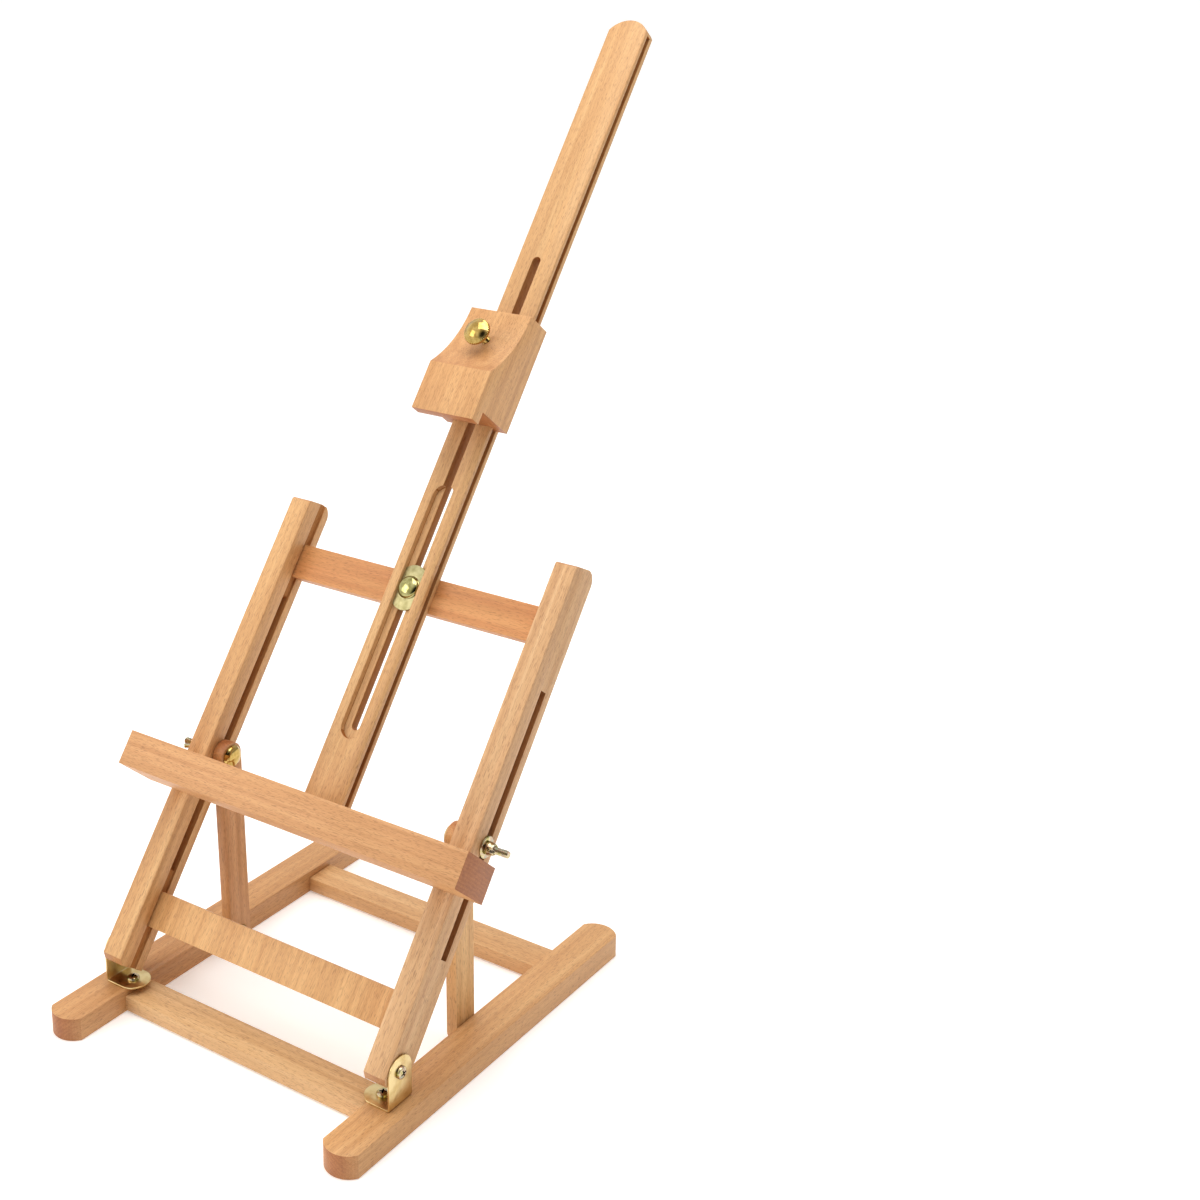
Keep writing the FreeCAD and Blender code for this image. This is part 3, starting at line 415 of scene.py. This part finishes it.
# ---------------------------------------------------------------------------------------
# Bracket screws.  Pan-head wood screws with a cross recess, bright yellow passivation.
# One goes down into each rail and one through each bracket into the upright.
# ---------------------------------------------------------------------------------------

yellow_zinc, tree = new_material("yellow_passivated_zinc")
place = add(tree, "ShaderNodeTexCoord").outputs["Object"]
hues = add(tree, "ShaderNodeTexNoise", {"Vector": place, "Scale": 160.0, "Detail": 3.0, "Distortion": 0.8})
colour = ramp(tree, hues.outputs["Fac"], [
    (0.30, "#7d8a58"), (0.42, "#b3a66a"), (0.50, "#cfc49c"), (0.58, "#b89a86"), (0.68, "#a6b39a")])
# The bottom of a driver recess is painted dark brown as painted shade.
hollow = add(tree, "ShaderNodeAttribute", attribute_name="recess").outputs["Fac"]
shaded = add(tree, "ShaderNodeMix", {"Factor": hollow, 6: colour, 7: linear("#241c12")}, data_type="RGBA")
grit = add(tree, "ShaderNodeTexNoise", {"Vector": place, "Scale": 2200.0, "Detail": 2.0})
roughness = add(tree, "ShaderNodeMapRange", {"Value": hues.outputs["Fac"], "To Min": 0.16, "To Max": 0.32})
bump = add(tree, "ShaderNodeBump", {"Strength": 0.12, "Distance": 0.00003, "Height": grit.outputs["Fac"]})
shader = add(tree, "ShaderNodeBsdfPrincipled", {"Base Color": shaded.outputs[2], "Metallic": 1.0,
                                                "Roughness": roughness.outputs[0],
                                                "Normal": bump.outputs[0]})
add(tree, "ShaderNodeOutputMaterial", {"Surface": shader.outputs[0]})


def lathed(name, outline, steps=48):
    """Closed solid turned about +Z from (radius, height) rows; rows on the axis have radius 0."""
    work = bmesh.new()
    rings_of = []
    for radius, height in outline:
        if radius == 0:
            rings_of.append([work.verts.new((0, 0, height))])
        else:
            rings_of.append([work.verts.new((radius * math.cos(math.tau * i / steps),
                                             radius * math.sin(math.tau * i / steps), height))
                             for i in range(steps)])
    pairs = list(zip(rings_of, rings_of[1:]))
    if outline[0][0] and outline[-1][0]:
        pairs.append((rings_of[-1], rings_of[0]))
    for low, high in pairs:
        for i in range(steps):
            j = (i + 1) % steps
            if len(low) == 1:
                work.faces.new((low[0], high[j], high[i]))
            elif len(high) == 1:
                work.faces.new((low[i], low[j], high[0]))
            else:
                work.faces.new((low[i], low[j], high[j], high[i]))
    bmesh.ops.recalc_face_normals(work, faces=work.faces)
    mesh = bpy.data.meshes.new(name)
    work.to_mesh(mesh)
    work.free()
    made = bpy.data.objects.new(name, mesh)
    bpy.context.scene.collection.objects.link(made)
    return made


def cut_with(piece, cutter, operation="DIFFERENCE"):
    change = piece.modifiers.new("cut", "BOOLEAN")
    change.object = cutter
    change.operation = operation
    change.solver = "EXACT"
    name = piece.name
    made = baked(piece, name)
    bpy.data.objects.remove(cutter)
    return made


def box_mesh(name, low, high, taper=1.0):
    """Block from low to high; its bottom is taper times as wide as its top."""
    work = bmesh.new()
    bmesh.ops.create_cube(work, size=1.0)
    centre = (Vector(low) + Vector(high)) / 2
    reach = Vector(high) - Vector(low)
    for vertex in work.verts:
        shrink = taper if vertex.co.z < 0 else 1.0
        vertex.co = Vector((vertex.co.x * reach.x * shrink, vertex.co.y * reach.y * shrink,
                            vertex.co.z * reach.z)) + centre
    mesh = bpy.data.meshes.new(name)
    work.to_mesh(mesh)
    work.free()
    made = bpy.data.objects.new(name, mesh)
    bpy.context.scene.collection.objects.link(made)
    return made


def laid_tree(name):
    """Geometry Nodes: one shape set on every point, its +Z turned to the point's facing."""
    tree = bpy.data.node_groups.new(name, "GeometryNodeTree")
    tree.interface.new_socket("Points", in_out="INPUT", socket_type="NodeSocketGeometry")
    tree.interface.new_socket("Shape", in_out="INPUT", socket_type="NodeSocketObject")
    tree.interface.new_socket("Finish", in_out="INPUT", socket_type="NodeSocketMaterial")
    tree.interface.new_socket("Spin", in_out="INPUT", socket_type="NodeSocketFloat")
    tree.interface.new_socket("Set", in_out="OUTPUT", socket_type="NodeSocketGeometry")
    given = add(tree, "NodeGroupInput")
    shape = add(tree, "GeometryNodeObjectInfo", {"Object": given.outputs["Shape"]})
    facing = add(tree, "GeometryNodeInputNamedAttribute", {"Name": "facing"}, data_type="FLOAT_VECTOR")
    aimed = add(tree, "FunctionNodeAlignRotationToVector", {"Vector": facing.outputs[0]}, axis="Z")
    axis_turn = add(tree, "FunctionNodeAxisAngleToRotation", {"Axis": (0.0, 0.0, 1.0),
                                                              "Angle": given.outputs["Spin"]})
    turned = add(tree, "FunctionNodeRotateRotation", {"Rotation": aimed.outputs[0],
                                                      "Rotate By": axis_turn.outputs[0]})
    turned.rotation_space = "LOCAL"
    copies = add(tree, "GeometryNodeInstanceOnPoints", {
        "Points": given.outputs["Points"], "Instance": shape.outputs["Geometry"],
        "Rotation": turned.outputs[0]})
    real = add(tree, "GeometryNodeRealizeInstances", {0: copies.outputs[0]})
    coat = add(tree, "GeometryNodeSetMaterial", {"Geometry": real.outputs[0],
                                                 "Material": given.outputs["Finish"]})
    add(tree, "NodeGroupOutput", {0: coat.outputs[0]})
    return tree


laying = laid_tree("set_in_place")


def set_in_place(name, shape, places, material, spin=0.0):
    """Copies of a shape at (point, direction) pairs, as one plain mesh; the shape is used up."""
    points = bpy.data.meshes.new(name + "_points")
    points.from_pydata([place for place, _ in places], [], [])
    facing = points.attributes.new("facing", "FLOAT_VECTOR", "POINT")
    for index, (_, direction) in enumerate(places):
        facing.data[index].vector = direction
    carrier = bpy.data.objects.new(name, points)
    bpy.context.scene.collection.objects.link(carrier)
    modifier = carrier.modifiers.new("laid", "NODES")
    modifier.node_group = laying
    for item in laying.interface.items_tree:
        if item.in_out == "INPUT" and item.name in ("Shape", "Finish", "Spin"):
            modifier[item.identifier] = {"Shape": shape, "Finish": material, "Spin": spin}[item.name]
    piece = baked(carrier, name)
    bpy.data.objects.remove(shape)
    return piece


def pan_screw(name, head, height, shank, length):
    """Pan head above z = 0 with a cross recess, shank below."""
    body = lathed(name, [(0, -length), (shank * 0.35, -length + 0.0012), (shank, -length + 0.0045),
                         (shank, 0), (head * 0.96, 0), (head, height * 0.12), (head * 0.99, height * 0.42),
                         (head * 0.9, height * 0.7), (head * 0.7, height * 0.9), (head * 0.4, height * 0.98),
                         (0, height)])
    slot_a = box_mesh("recess_a", (-head * 0.6, -head * 0.14, height * 0.1),
                      (head * 0.6, head * 0.14, height * 1.2), 0.55)
    slot_b = box_mesh("recess_b", (-head * 0.14, -head * 0.6, height * 0.1),
                      (head * 0.14, head * 0.6, height * 1.2), 0.55)
    return cut_with(cut_with(body, slot_a), slot_b)


def middle(node):
    low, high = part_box(node)
    return (Vector(low) + Vector(high)) / 2


# Head radius and height, then shank radius and length.
screw_radius, screw_rise = 0.0053, 0.003
screw_sizes = (screw_radius, screw_rise, 0.002, 0.015)
leaf_thickness = 0.0015
rail_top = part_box("left_foot_bracket")[0][2] + leaf_thickness
screw_low, screw_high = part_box("bracket_base_screws")
screw_x = screw_high[0] - screw_radius
screw_y = (screw_low[1] + screw_high[1]) / 2
rail_screws = set_in_place("rail_screws", pan_screw("rail_screw", *screw_sizes),
                           [((way * screw_x, screw_y, rail_top), (0, 0, 1)) for way in (-1, 1)],
                           yellow_zinc, spin=0.5)
# Faces inside the cross recesses are marked so the zinc finish paints them with dark painted shade.
mark_recesses(rail_screws.data)
metal_piece(rail_screws, "base", yellow_zinc, ["bracket_base_screws"], 30)
pivot_low, pivot_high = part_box("foot_pivot_screws")
pivot_y = (pivot_low[1] + pivot_high[1]) / 2
pivot_z = (pivot_low[2] + pivot_high[2]) / 2
pivot_screws = set_in_place("foot_pivot_screw_pair", pan_screw("pivot_screw", *screw_sizes),
                            [((way * (pivot_high[0] - screw_rise), pivot_y, pivot_z), (way, 0, 0))
                             for way in (-1, 1)], yellow_zinc, spin=0.3)
mark_recesses(pivot_screws.data)
metal_piece(pivot_screws, "frame", yellow_zinc, ["foot_pivot_screws"], 30)

# ---------------------------------------------------------------------------------------
# Bolts.  M6 with a polished dome head, brass at the struts and olive at the mast.  The
# plated shank has a rolled 1 mm pitch thread for a wing nut or for the rail's insert.
# ---------------------------------------------------------------------------------------

polished_brass, tree = new_material("polished_brass")
place = add(tree, "ShaderNodeTexCoord").outputs["Object"]
haze = add(tree, "ShaderNodeTexNoise", {"Vector": place, "Scale": 240.0, "Detail": 3.0})
colour = ramp(tree, haze.outputs["Fac"], [(0.35, "#a98a48"), (0.65, "#cdae68")])
roughness = add(tree, "ShaderNodeMapRange", {"Value": haze.outputs["Fac"], "To Min": 0.07, "To Max": 0.16})
shader = add(tree, "ShaderNodeBsdfPrincipled", {"Base Color": colour, "Metallic": 1.0,
                                                "Roughness": roughness.outputs[0]})
add(tree, "ShaderNodeOutputMaterial", {"Surface": shader.outputs[0]})

# The mast bolt's dome is plated greener than the others.
olive_brass, tree = new_material("olive_brass")
place = add(tree, "ShaderNodeTexCoord").outputs["Object"]
haze = add(tree, "ShaderNodeTexNoise", {"Vector": place, "Scale": 240.0, "Detail": 3.0})
colour = ramp(tree, haze.outputs["Fac"], [(0.35, "#8e8850"), (0.65, "#b9b27c")])
shader = add(tree, "ShaderNodeBsdfPrincipled", {"Base Color": colour, "Metallic": 1.0, "Roughness": 0.12})
add(tree, "ShaderNodeOutputMaterial", {"Surface": shader.outputs[0]})


def thread_tree(name):
    """Geometry Nodes: a round bar along +Z whose skin follows a 60 degree screw thread."""
    tree = bpy.data.node_groups.new(name, "GeometryNodeTree")
    for label, start in (("Radius", 0.003), ("Length", 0.03), ("Pitch", 0.001), ("Depth", 0.0005)):
        socket = tree.interface.new_socket(label, in_out="INPUT", socket_type="NodeSocketFloat")
        socket.default_value = start
    tree.interface.new_socket("Finish", in_out="INPUT", socket_type="NodeSocketMaterial")
    tree.interface.new_socket("Bar", in_out="OUTPUT", socket_type="NodeSocketGeometry")
    given = add(tree, "NodeGroupInput")
    per_turn = add(tree, "ShaderNodeMath", {0: given.outputs["Length"], 1: given.outputs["Pitch"]},
                   operation="DIVIDE")
    cuts = add(tree, "ShaderNodeMath", {0: per_turn.outputs[0], 1: 8.0}, operation="MULTIPLY")
    bar = add(tree, "GeometryNodeMeshCylinder", {
        "Vertices": 32, "Side Segments": cuts.outputs[0], "Radius": given.outputs["Radius"],
        "Depth": given.outputs["Length"]})
    place = add(tree, "GeometryNodeInputPosition")
    parts = add(tree, "ShaderNodeSeparateXYZ", {0: place.outputs[0]})
    angle = add(tree, "ShaderNodeMath", {0: parts.outputs["Y"], 1: parts.outputs["X"]}, operation="ARCTAN2")
    turn_part = add(tree, "ShaderNodeMath", {0: angle.outputs[0], 1: math.tau}, operation="DIVIDE")
    climb = add(tree, "ShaderNodeMath", {0: parts.outputs["Z"], 1: given.outputs["Pitch"]},
                operation="DIVIDE")
    phase = add(tree, "ShaderNodeMath", {0: climb.outputs[0], 1: turn_part.outputs[0]}, operation="SUBTRACT")
    wave = add(tree, "ShaderNodeMath", {0: phase.outputs[0], 1: 0.5}, operation="PINGPONG")
    cut = add(tree, "ShaderNodeMath", {0: wave.outputs[0], 1: 2.0}, operation="MULTIPLY")
    sunk = add(tree, "ShaderNodeMath", {0: cut.outputs[0], 1: given.outputs["Depth"]}, operation="MULTIPLY")
    half = add(tree, "ShaderNodeMath", {0: given.outputs["Length"], 1: 0.5}, operation="MULTIPLY")
    from_end = add(tree, "ShaderNodeMath", {0: half.outputs[0], 1: parts.outputs["Z"]}, operation="SUBTRACT")
    lead = add(tree, "ShaderNodeMapRange", {"Value": from_end.outputs[0], "From Min": 0.0,
                                            "From Max": 0.0008, "To Min": 0.0006, "To Max": 0.0})
    shrink = add(tree, "ShaderNodeMath", {0: sunk.outputs[0], 1: lead.outputs[0]}, operation="MAXIMUM")
    flat = add(tree, "ShaderNodeCombineXYZ", {"X": parts.outputs["X"], "Y": parts.outputs["Y"]})
    outward = add(tree, "ShaderNodeVectorMath", {0: flat.outputs[0]}, operation="NORMALIZE")
    inward = add(tree, "ShaderNodeMath", {0: shrink.outputs[0], 1: -1.0}, operation="MULTIPLY")
    shift = add(tree, "ShaderNodeVectorMath", {0: outward.outputs[0], "Scale": inward.outputs[0]},
                operation="SCALE")
    shaped = add(tree, "GeometryNodeSetPosition", {"Geometry": bar.outputs["Mesh"],
                                                   "Offset": shift.outputs[0]})
    up = add(tree, "ShaderNodeCombineXYZ", {"Z": half.outputs[0]})
    seated = add(tree, "GeometryNodeTransform", {"Geometry": shaped.outputs[0],
                                                 "Translation": up.outputs[0]})
    coat = add(tree, "GeometryNodeSetMaterial", {"Geometry": seated.outputs[0],
                                                 "Material": given.outputs["Finish"]})
    add(tree, "NodeGroupOutput", {0: coat.outputs[0]})
    return tree


threading = thread_tree("rolled_thread")
thread_radius = 0.00295


def threaded_bar(name, radius, length, material):
    carrier = bpy.data.objects.new(name, bpy.data.meshes.new(name))
    bpy.context.scene.collection.objects.link(carrier)
    modifier = carrier.modifiers.new("thread", "NODES")
    modifier.node_group = threading
    values = {"Radius": radius, "Length": length, "Pitch": 0.001, "Depth": 0.00055, "Finish": material}
    for item in threading.interface.items_tree:
        if item.in_out == "INPUT":
            modifier[item.identifier] = values[item.name]
    return baked(carrier, name)


def aimed_at(piece, point, direction, spin=0.0):
    """Turn a mesh made along +Z to a direction from a point, in its vertices."""
    turn = Vector((0, 0, 1)).rotation_difference(Vector(direction)).to_matrix().to_4x4()
    piece.data.transform(Matrix.Translation(Vector(point)) @ turn @ Matrix.Rotation(spin, 4, "Z"))
    return piece


def dome_head(name, radius, height):
    """Polished dome below z = 0 with a thin rolled rim."""
    rows = [(0.0, 0.0), (radius * 0.93, 0.0), (radius, -height * 0.08), (radius, -height * 0.2),
            (radius * 0.96, -height * 0.27)]
    for step in range(1, 12):
        angle = math.radians(90) * step / 12
        rows.append((radius * 0.93 * math.cos(angle), -height * 0.27 - height * 0.73 * math.sin(angle)))
    rows.append((0.0, -height))
    return lathed(name, rows, 64)


def bolt(prefix, node, body, point, direction, length, head_radius, head_height, finish=None):
    """Dome head and threaded shank standing in for one exact bolt."""
    head = aimed_at(dome_head(prefix + "_dome", head_radius, head_height), point, direction)
    metal_piece(head, body, finish or polished_brass, [node], 40)
    shank = aimed_at(threaded_bar(prefix + "_shank", thread_radius, length, yellow_zinc), point, direction)
    metal_piece(shank, body, yellow_zinc, [], 30)


# Head radius and height of the bolts in the struts' slots and at their feet.
slot_head = (0.01, 0.005)
foot_head = (0.007, 0.004)
for side, way in (("left", -1), ("right", 1)):
    low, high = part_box(side + "_strut_bolt")
    outer = max(abs(low[0]), abs(high[0]))
    inner = min(abs(low[0]), abs(high[0])) + slot_head[1]
    centre = middle(side + "_strut_bolt")
    bolt(side + "_slot_bolt", side + "_strut_bolt", side + "_slider",
         (way * inner, centre.y, centre.z), (way, 0, 0), outer - inner, *slot_head)
    low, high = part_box(side + "_strut_pivot_screw")
    outer = max(abs(low[0]), abs(high[0]))
    inner = min(abs(low[0]), abs(high[0])) + foot_head[1]
    centre = middle(side + "_strut_pivot_screw")
    bolt(side + "_foot_bolt", side + "_strut_pivot_screw", side + "_strut",
         (way * inner, centre.y, centre.z), (way, 0, 0), outer - inner, *foot_head)

clamp_plate = middle("mast_clamp_plate")
back = Vector(back_frame)
dome_ahead, mast_bolt_reach = 0.001, 0.044
clamp_seat = clamp_plate - back * dome_ahead
bolt("mast_bolt", "mast_clamp_bolt", "frame", clamp_seat, back, mast_bolt_reach, *slot_head, olive_brass)

# ---------------------------------------------------------------------------------------
# Washers and wing nuts.  Pressed washers with a rolled-over rim and forged wing nuts,
# zinc plated and yellow passivated, which gives green, gold and pink clouds.
# ---------------------------------------------------------------------------------------


def washer(name):
    return lathed(name, [(0.0032, 0.0), (0.0086, 0.0), (0.009, 0.0003), (0.009, 0.0009), (0.0086, 0.0013),
                         (0.0078, 0.0016), (0.0062, 0.00145), (0.0046, 0.0016), (0.0035, 0.0016),
                         (0.0032, 0.0013)], 72)


def wing_bar(way):
    """One straight wing: a rounded bar rising outwards from the boss at 45 degrees."""
    work = bmesh.new()
    start, finish = Vector((way * 0.0026, 0, 0.0030)), Vector((way * 0.0116, 0, 0.0110))
    along = (finish - start).normalized()
    flat = Vector((-along.z * way, 0, along.x * way))
    loops = []
    for step, half_wide, half_thick in ((0.0, 0.0025, 0.0021), (0.35, 0.0022, 0.0015),
                                        (0.7, 0.0023, 0.0014), (1.0, 0.0025, 0.0014)):
        centre = start.lerp(finish, step)
        loop = []
        for i in range(16):
            angle = math.tau * i / 16
            x, y = math.cos(angle), math.sin(angle)
            square = max(abs(x), abs(y)) ** 0.72
            loop.append(work.verts.new(centre + flat * (x / square * half_wide)
                                       + Vector((0, 1, 0)) * (y / square * half_thick)))
        loops.append(loop)
    for low, high in zip(loops, loops[1:]):
        for i in range(16):
            work.faces.new((low[i], low[(i + 1) % 16], high[(i + 1) % 16], high[i]))
    work.faces.new(list(reversed(loops[0])))
    work.faces.new(loops[-1])
    bmesh.ops.recalc_face_normals(work, faces=work.faces)
    mesh = bpy.data.meshes.new("wing")
    work.to_mesh(mesh)
    work.free()
    made = bpy.data.objects.new("wing", mesh)
    bpy.context.scene.collection.objects.link(made)
    return made


def wing_nut(name):
    boss = lathed(name, [(0, 0), (0.0050, 0), (0.0055, 0.0004), (0.0055, 0.0022), (0.0051, 0.0036),
                         (0.0047, 0.0058), (0.0043, 0.0068), (0, 0.0068)], 48)
    for way in (-1, 1):
        boss = cut_with(boss, wing_bar(way), "UNION")
    skin = boss.modifiers.new("forged", "REMESH")
    skin.mode = "VOXEL"
    skin.voxel_size = 0.00024
    soften = boss.modifiers.new("softened", "SMOOTH")
    soften.factor = 0.5
    soften.iterations = 4
    boss = baked(boss, name)
    bore = lathed("bore", [(0, -0.001), (0.0031, -0.001), (0.0031, 0.0062), (0.0037, 0.0072),
                           (0.0037, 0.009), (0, 0.009)], 48)
    return cut_with(boss, bore)


# Degrees that each nut was left turned from the vertical when it was tightened.
nut_turn = {"left": 99, "right": 65}
for side, way in (("left", -1), ("right", 1)):
    low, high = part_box(side + "_washer")
    seat = min(abs(low[0]), abs(high[0]))
    centre = middle(side + "_washer")
    ring = aimed_at(washer(side + "_pressed_washer"), (way * seat, centre.y, centre.z), (way, 0, 0))
    metal_piece(ring, side + "_slider", yellow_zinc, [side + "_washer"])
    low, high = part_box(side + "_wing_nut")
    seat = min(abs(low[0]), abs(high[0]))
    nut = aimed_at(wing_nut(side + "_forged_nut"), (way * seat, centre.y, centre.z), (way, 0, 0),
                   spin=math.radians(nut_turn[side]))
    metal_piece(nut, side + "_nut", yellow_zinc, [side + "_wing_nut"], 50)

washer_middle = middle("mast_clamp_washer")
rear = clamp_seat + back * (washer_middle - clamp_seat).dot(back)
washer_front, nut_seat = 0.0008, 0.0010
ring = aimed_at(washer("rear_pressed_washer"), rear - back * washer_front, back)
metal_piece(ring, "frame", yellow_zinc, ["mast_clamp_washer"])
nut = aimed_at(wing_nut("rear_forged_nut"), rear + back * nut_seat, back)
metal_piece(nut, "clamp_nut", yellow_zinc, ["mast_clamp_wing_nut"], 50)

# ---------------------------------------------------------------------------------------
# Mast clamp plate and holder pad.  Punched steel, dull khaki zinc with a soft dappled
# bloom; the plate rides in the mast's recess under the dome.
# ---------------------------------------------------------------------------------------

khaki_zinc, tree = new_material("khaki_zinc_plate")
place = add(tree, "ShaderNodeTexCoord").outputs["Object"]
bloom = add(tree, "ShaderNodeTexNoise", {"Vector": place, "Scale": 210.0, "Detail": 4.0})
colour = ramp(tree, bloom.outputs["Fac"], [(0.35, "#989063"), (0.65, "#b8b084")])
bump = add(tree, "ShaderNodeBump", {"Strength": 0.1, "Distance": 0.00003, "Height": bloom.outputs["Fac"]})
shader = add(tree, "ShaderNodeBsdfPrincipled", {"Base Color": colour, "Metallic": 0.85, "Roughness": 0.42,
                                                "Normal": bump.outputs[0]})
add(tree, "ShaderNodeOutputMaterial", {"Surface": shader.outputs[0]})
plate = eased_copy("mast_clamp_plate", "punched_plate", 0.0004)
metal_piece(plate, "frame", khaki_zinc, ["mast_clamp_plate"])
pad = eased_copy("holder_pressure_plate", "pressed_pad", 0.0003)
metal_piece(pad, "holder", khaki_zinc, ["holder_pressure_plate"])

# ---------------------------------------------------------------------------------------
# Threaded inserts.  Short brass tubes pressed into the rails and the holder block, seen
# only as thin bright rings.
# ---------------------------------------------------------------------------------------

for node in ("strut_pivot_inserts", "holder_insert"):
    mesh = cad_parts[node].data
    mesh.materials.clear()
    mesh.materials.append(polished_brass)

# ---------------------------------------------------------------------------------------
# Holder knob.  Turned brass thumbscrew: polished domed face, straight-knurled rim and a
# tapered collar on an M6 shank that runs through the block to press on the mast.
# ---------------------------------------------------------------------------------------


def knurl_tree(name):
    """Geometry Nodes: grooves a turned head's rim where the 'knurl' attribute says."""
    tree = bpy.data.node_groups.new(name, "GeometryNodeTree")
    tree.interface.new_socket("Head", in_out="INPUT", socket_type="NodeSocketGeometry")
    for label, start in (("Teeth", 40.0), ("Depth", 0.0004)):
        socket = tree.interface.new_socket(label, in_out="INPUT", socket_type="NodeSocketFloat")
        socket.default_value = start
    tree.interface.new_socket("Finish", in_out="INPUT", socket_type="NodeSocketMaterial")
    tree.interface.new_socket("Cut", in_out="OUTPUT", socket_type="NodeSocketGeometry")
    given = add(tree, "NodeGroupInput")
    place = add(tree, "GeometryNodeInputPosition")
    parts = add(tree, "ShaderNodeSeparateXYZ", {0: place.outputs[0]})
    angle = add(tree, "ShaderNodeMath", {0: parts.outputs["Y"], 1: parts.outputs["X"]}, operation="ARCTAN2")
    turn_part = add(tree, "ShaderNodeMath", {0: angle.outputs[0], 1: math.tau}, operation="DIVIDE")
    count = add(tree, "ShaderNodeMath", {0: turn_part.outputs[0], 1: given.outputs["Teeth"]},
                operation="MULTIPLY")
    wave = add(tree, "ShaderNodeMath", {0: count.outputs[0], 1: 0.5}, operation="PINGPONG")
    sunk = add(tree, "ShaderNodeMath", {0: wave.outputs[0], 1: 2.0}, operation="MULTIPLY")
    mask = add(tree, "GeometryNodeInputNamedAttribute", {"Name": "knurl"}, data_type="FLOAT")
    masked = add(tree, "ShaderNodeMath", {0: sunk.outputs[0], 1: mask.outputs[0]}, operation="MULTIPLY")
    deep = add(tree, "ShaderNodeMath", {0: masked.outputs[0], 1: given.outputs["Depth"]},
               operation="MULTIPLY")
    inward = add(tree, "ShaderNodeMath", {0: deep.outputs[0], 1: -1.0}, operation="MULTIPLY")
    flat = add(tree, "ShaderNodeCombineXYZ", {"X": parts.outputs["X"], "Y": parts.outputs["Y"]})
    outward = add(tree, "ShaderNodeVectorMath", {0: flat.outputs[0]}, operation="NORMALIZE")
    shift = add(tree, "ShaderNodeVectorMath", {0: outward.outputs[0], "Scale": inward.outputs[0]},
                operation="SCALE")
    shaped = add(tree, "GeometryNodeSetPosition", {"Geometry": given.outputs["Head"],
                                                   "Offset": shift.outputs[0]})
    coat = add(tree, "GeometryNodeSetMaterial", {"Geometry": shaped.outputs[0],
                                                 "Material": given.outputs["Finish"]})
    add(tree, "NodeGroupOutput", {0: coat.outputs[0]})
    return tree


# (radius, height from the face plane, knurl depth share)
knob_rows = [(0, -0.0006, 0), (0.0017, -0.0005, 0), (0.0034, -0.0002, 0), (0.0051, 0.0003, 0),
             (0.0069, 0.0010, 0), (0.0084, 0.0019, 0), (0.0097, 0.0029, 0), (0.0107, 0.0034, 0),
             (0.0114, 0.0037, 0.3), (0.0120, 0.0042, 1), (0.0120, 0.0053, 1), (0.0120, 0.0064, 1),
             (0.0114, 0.0071, 0.3), (0.0101, 0.0078, 0), (0.0070, 0.0080, 0), (0.0062, 0.0084, 0),
             (0.0050, 0.0105, 0), (0.0046, 0.0130, 0), (0, 0.0130, 0)]
head = lathed("knurled_thumb_head", [(r, z) for r, z, _ in knob_rows], 160)
mask = head.data.attributes.new("knurl", "FLOAT", "POINT")
for vertex in head.data.vertices:
    row = min(knob_rows, key=lambda item: abs(item[0] - vertex.co.xy.length) + abs(item[1] - vertex.co.z))
    mask.data[vertex.index].value = row[2]
modifier = head.modifiers.new("knurl", "NODES")
modifier.node_group = knurl_tree("straight_knurl")
for item in modifier.node_group.interface.items_tree:
    if item.in_out == "INPUT" and item.name in ("Teeth", "Depth", "Finish"):
        modifier[item.identifier] = {"Teeth": 40.0, "Depth": 0.0006, "Finish": polished_brass}[item.name]
head = baked(head, "knurled_thumb_head")
insert_middle = middle("holder_insert")
pad_front, knob_reach, collar_depth, shank_reach = 0.00095, 0.0455, 0.0125, 0.0325
pad_face = middle("holder_pressure_plate") - back * pad_front
face_point = insert_middle + back * ((pad_face - insert_middle).dot(back) - knob_reach)
head = aimed_at(head, face_point, back)
metal_piece(head, "knob", polished_brass, ["knob_screw"], 28)
shank = aimed_at(threaded_bar("thumb_shank", thread_radius, shank_reach, polished_brass),
                 face_point + back * collar_depth, back)
metal_piece(shank, "knob", polished_brass, [], 30)
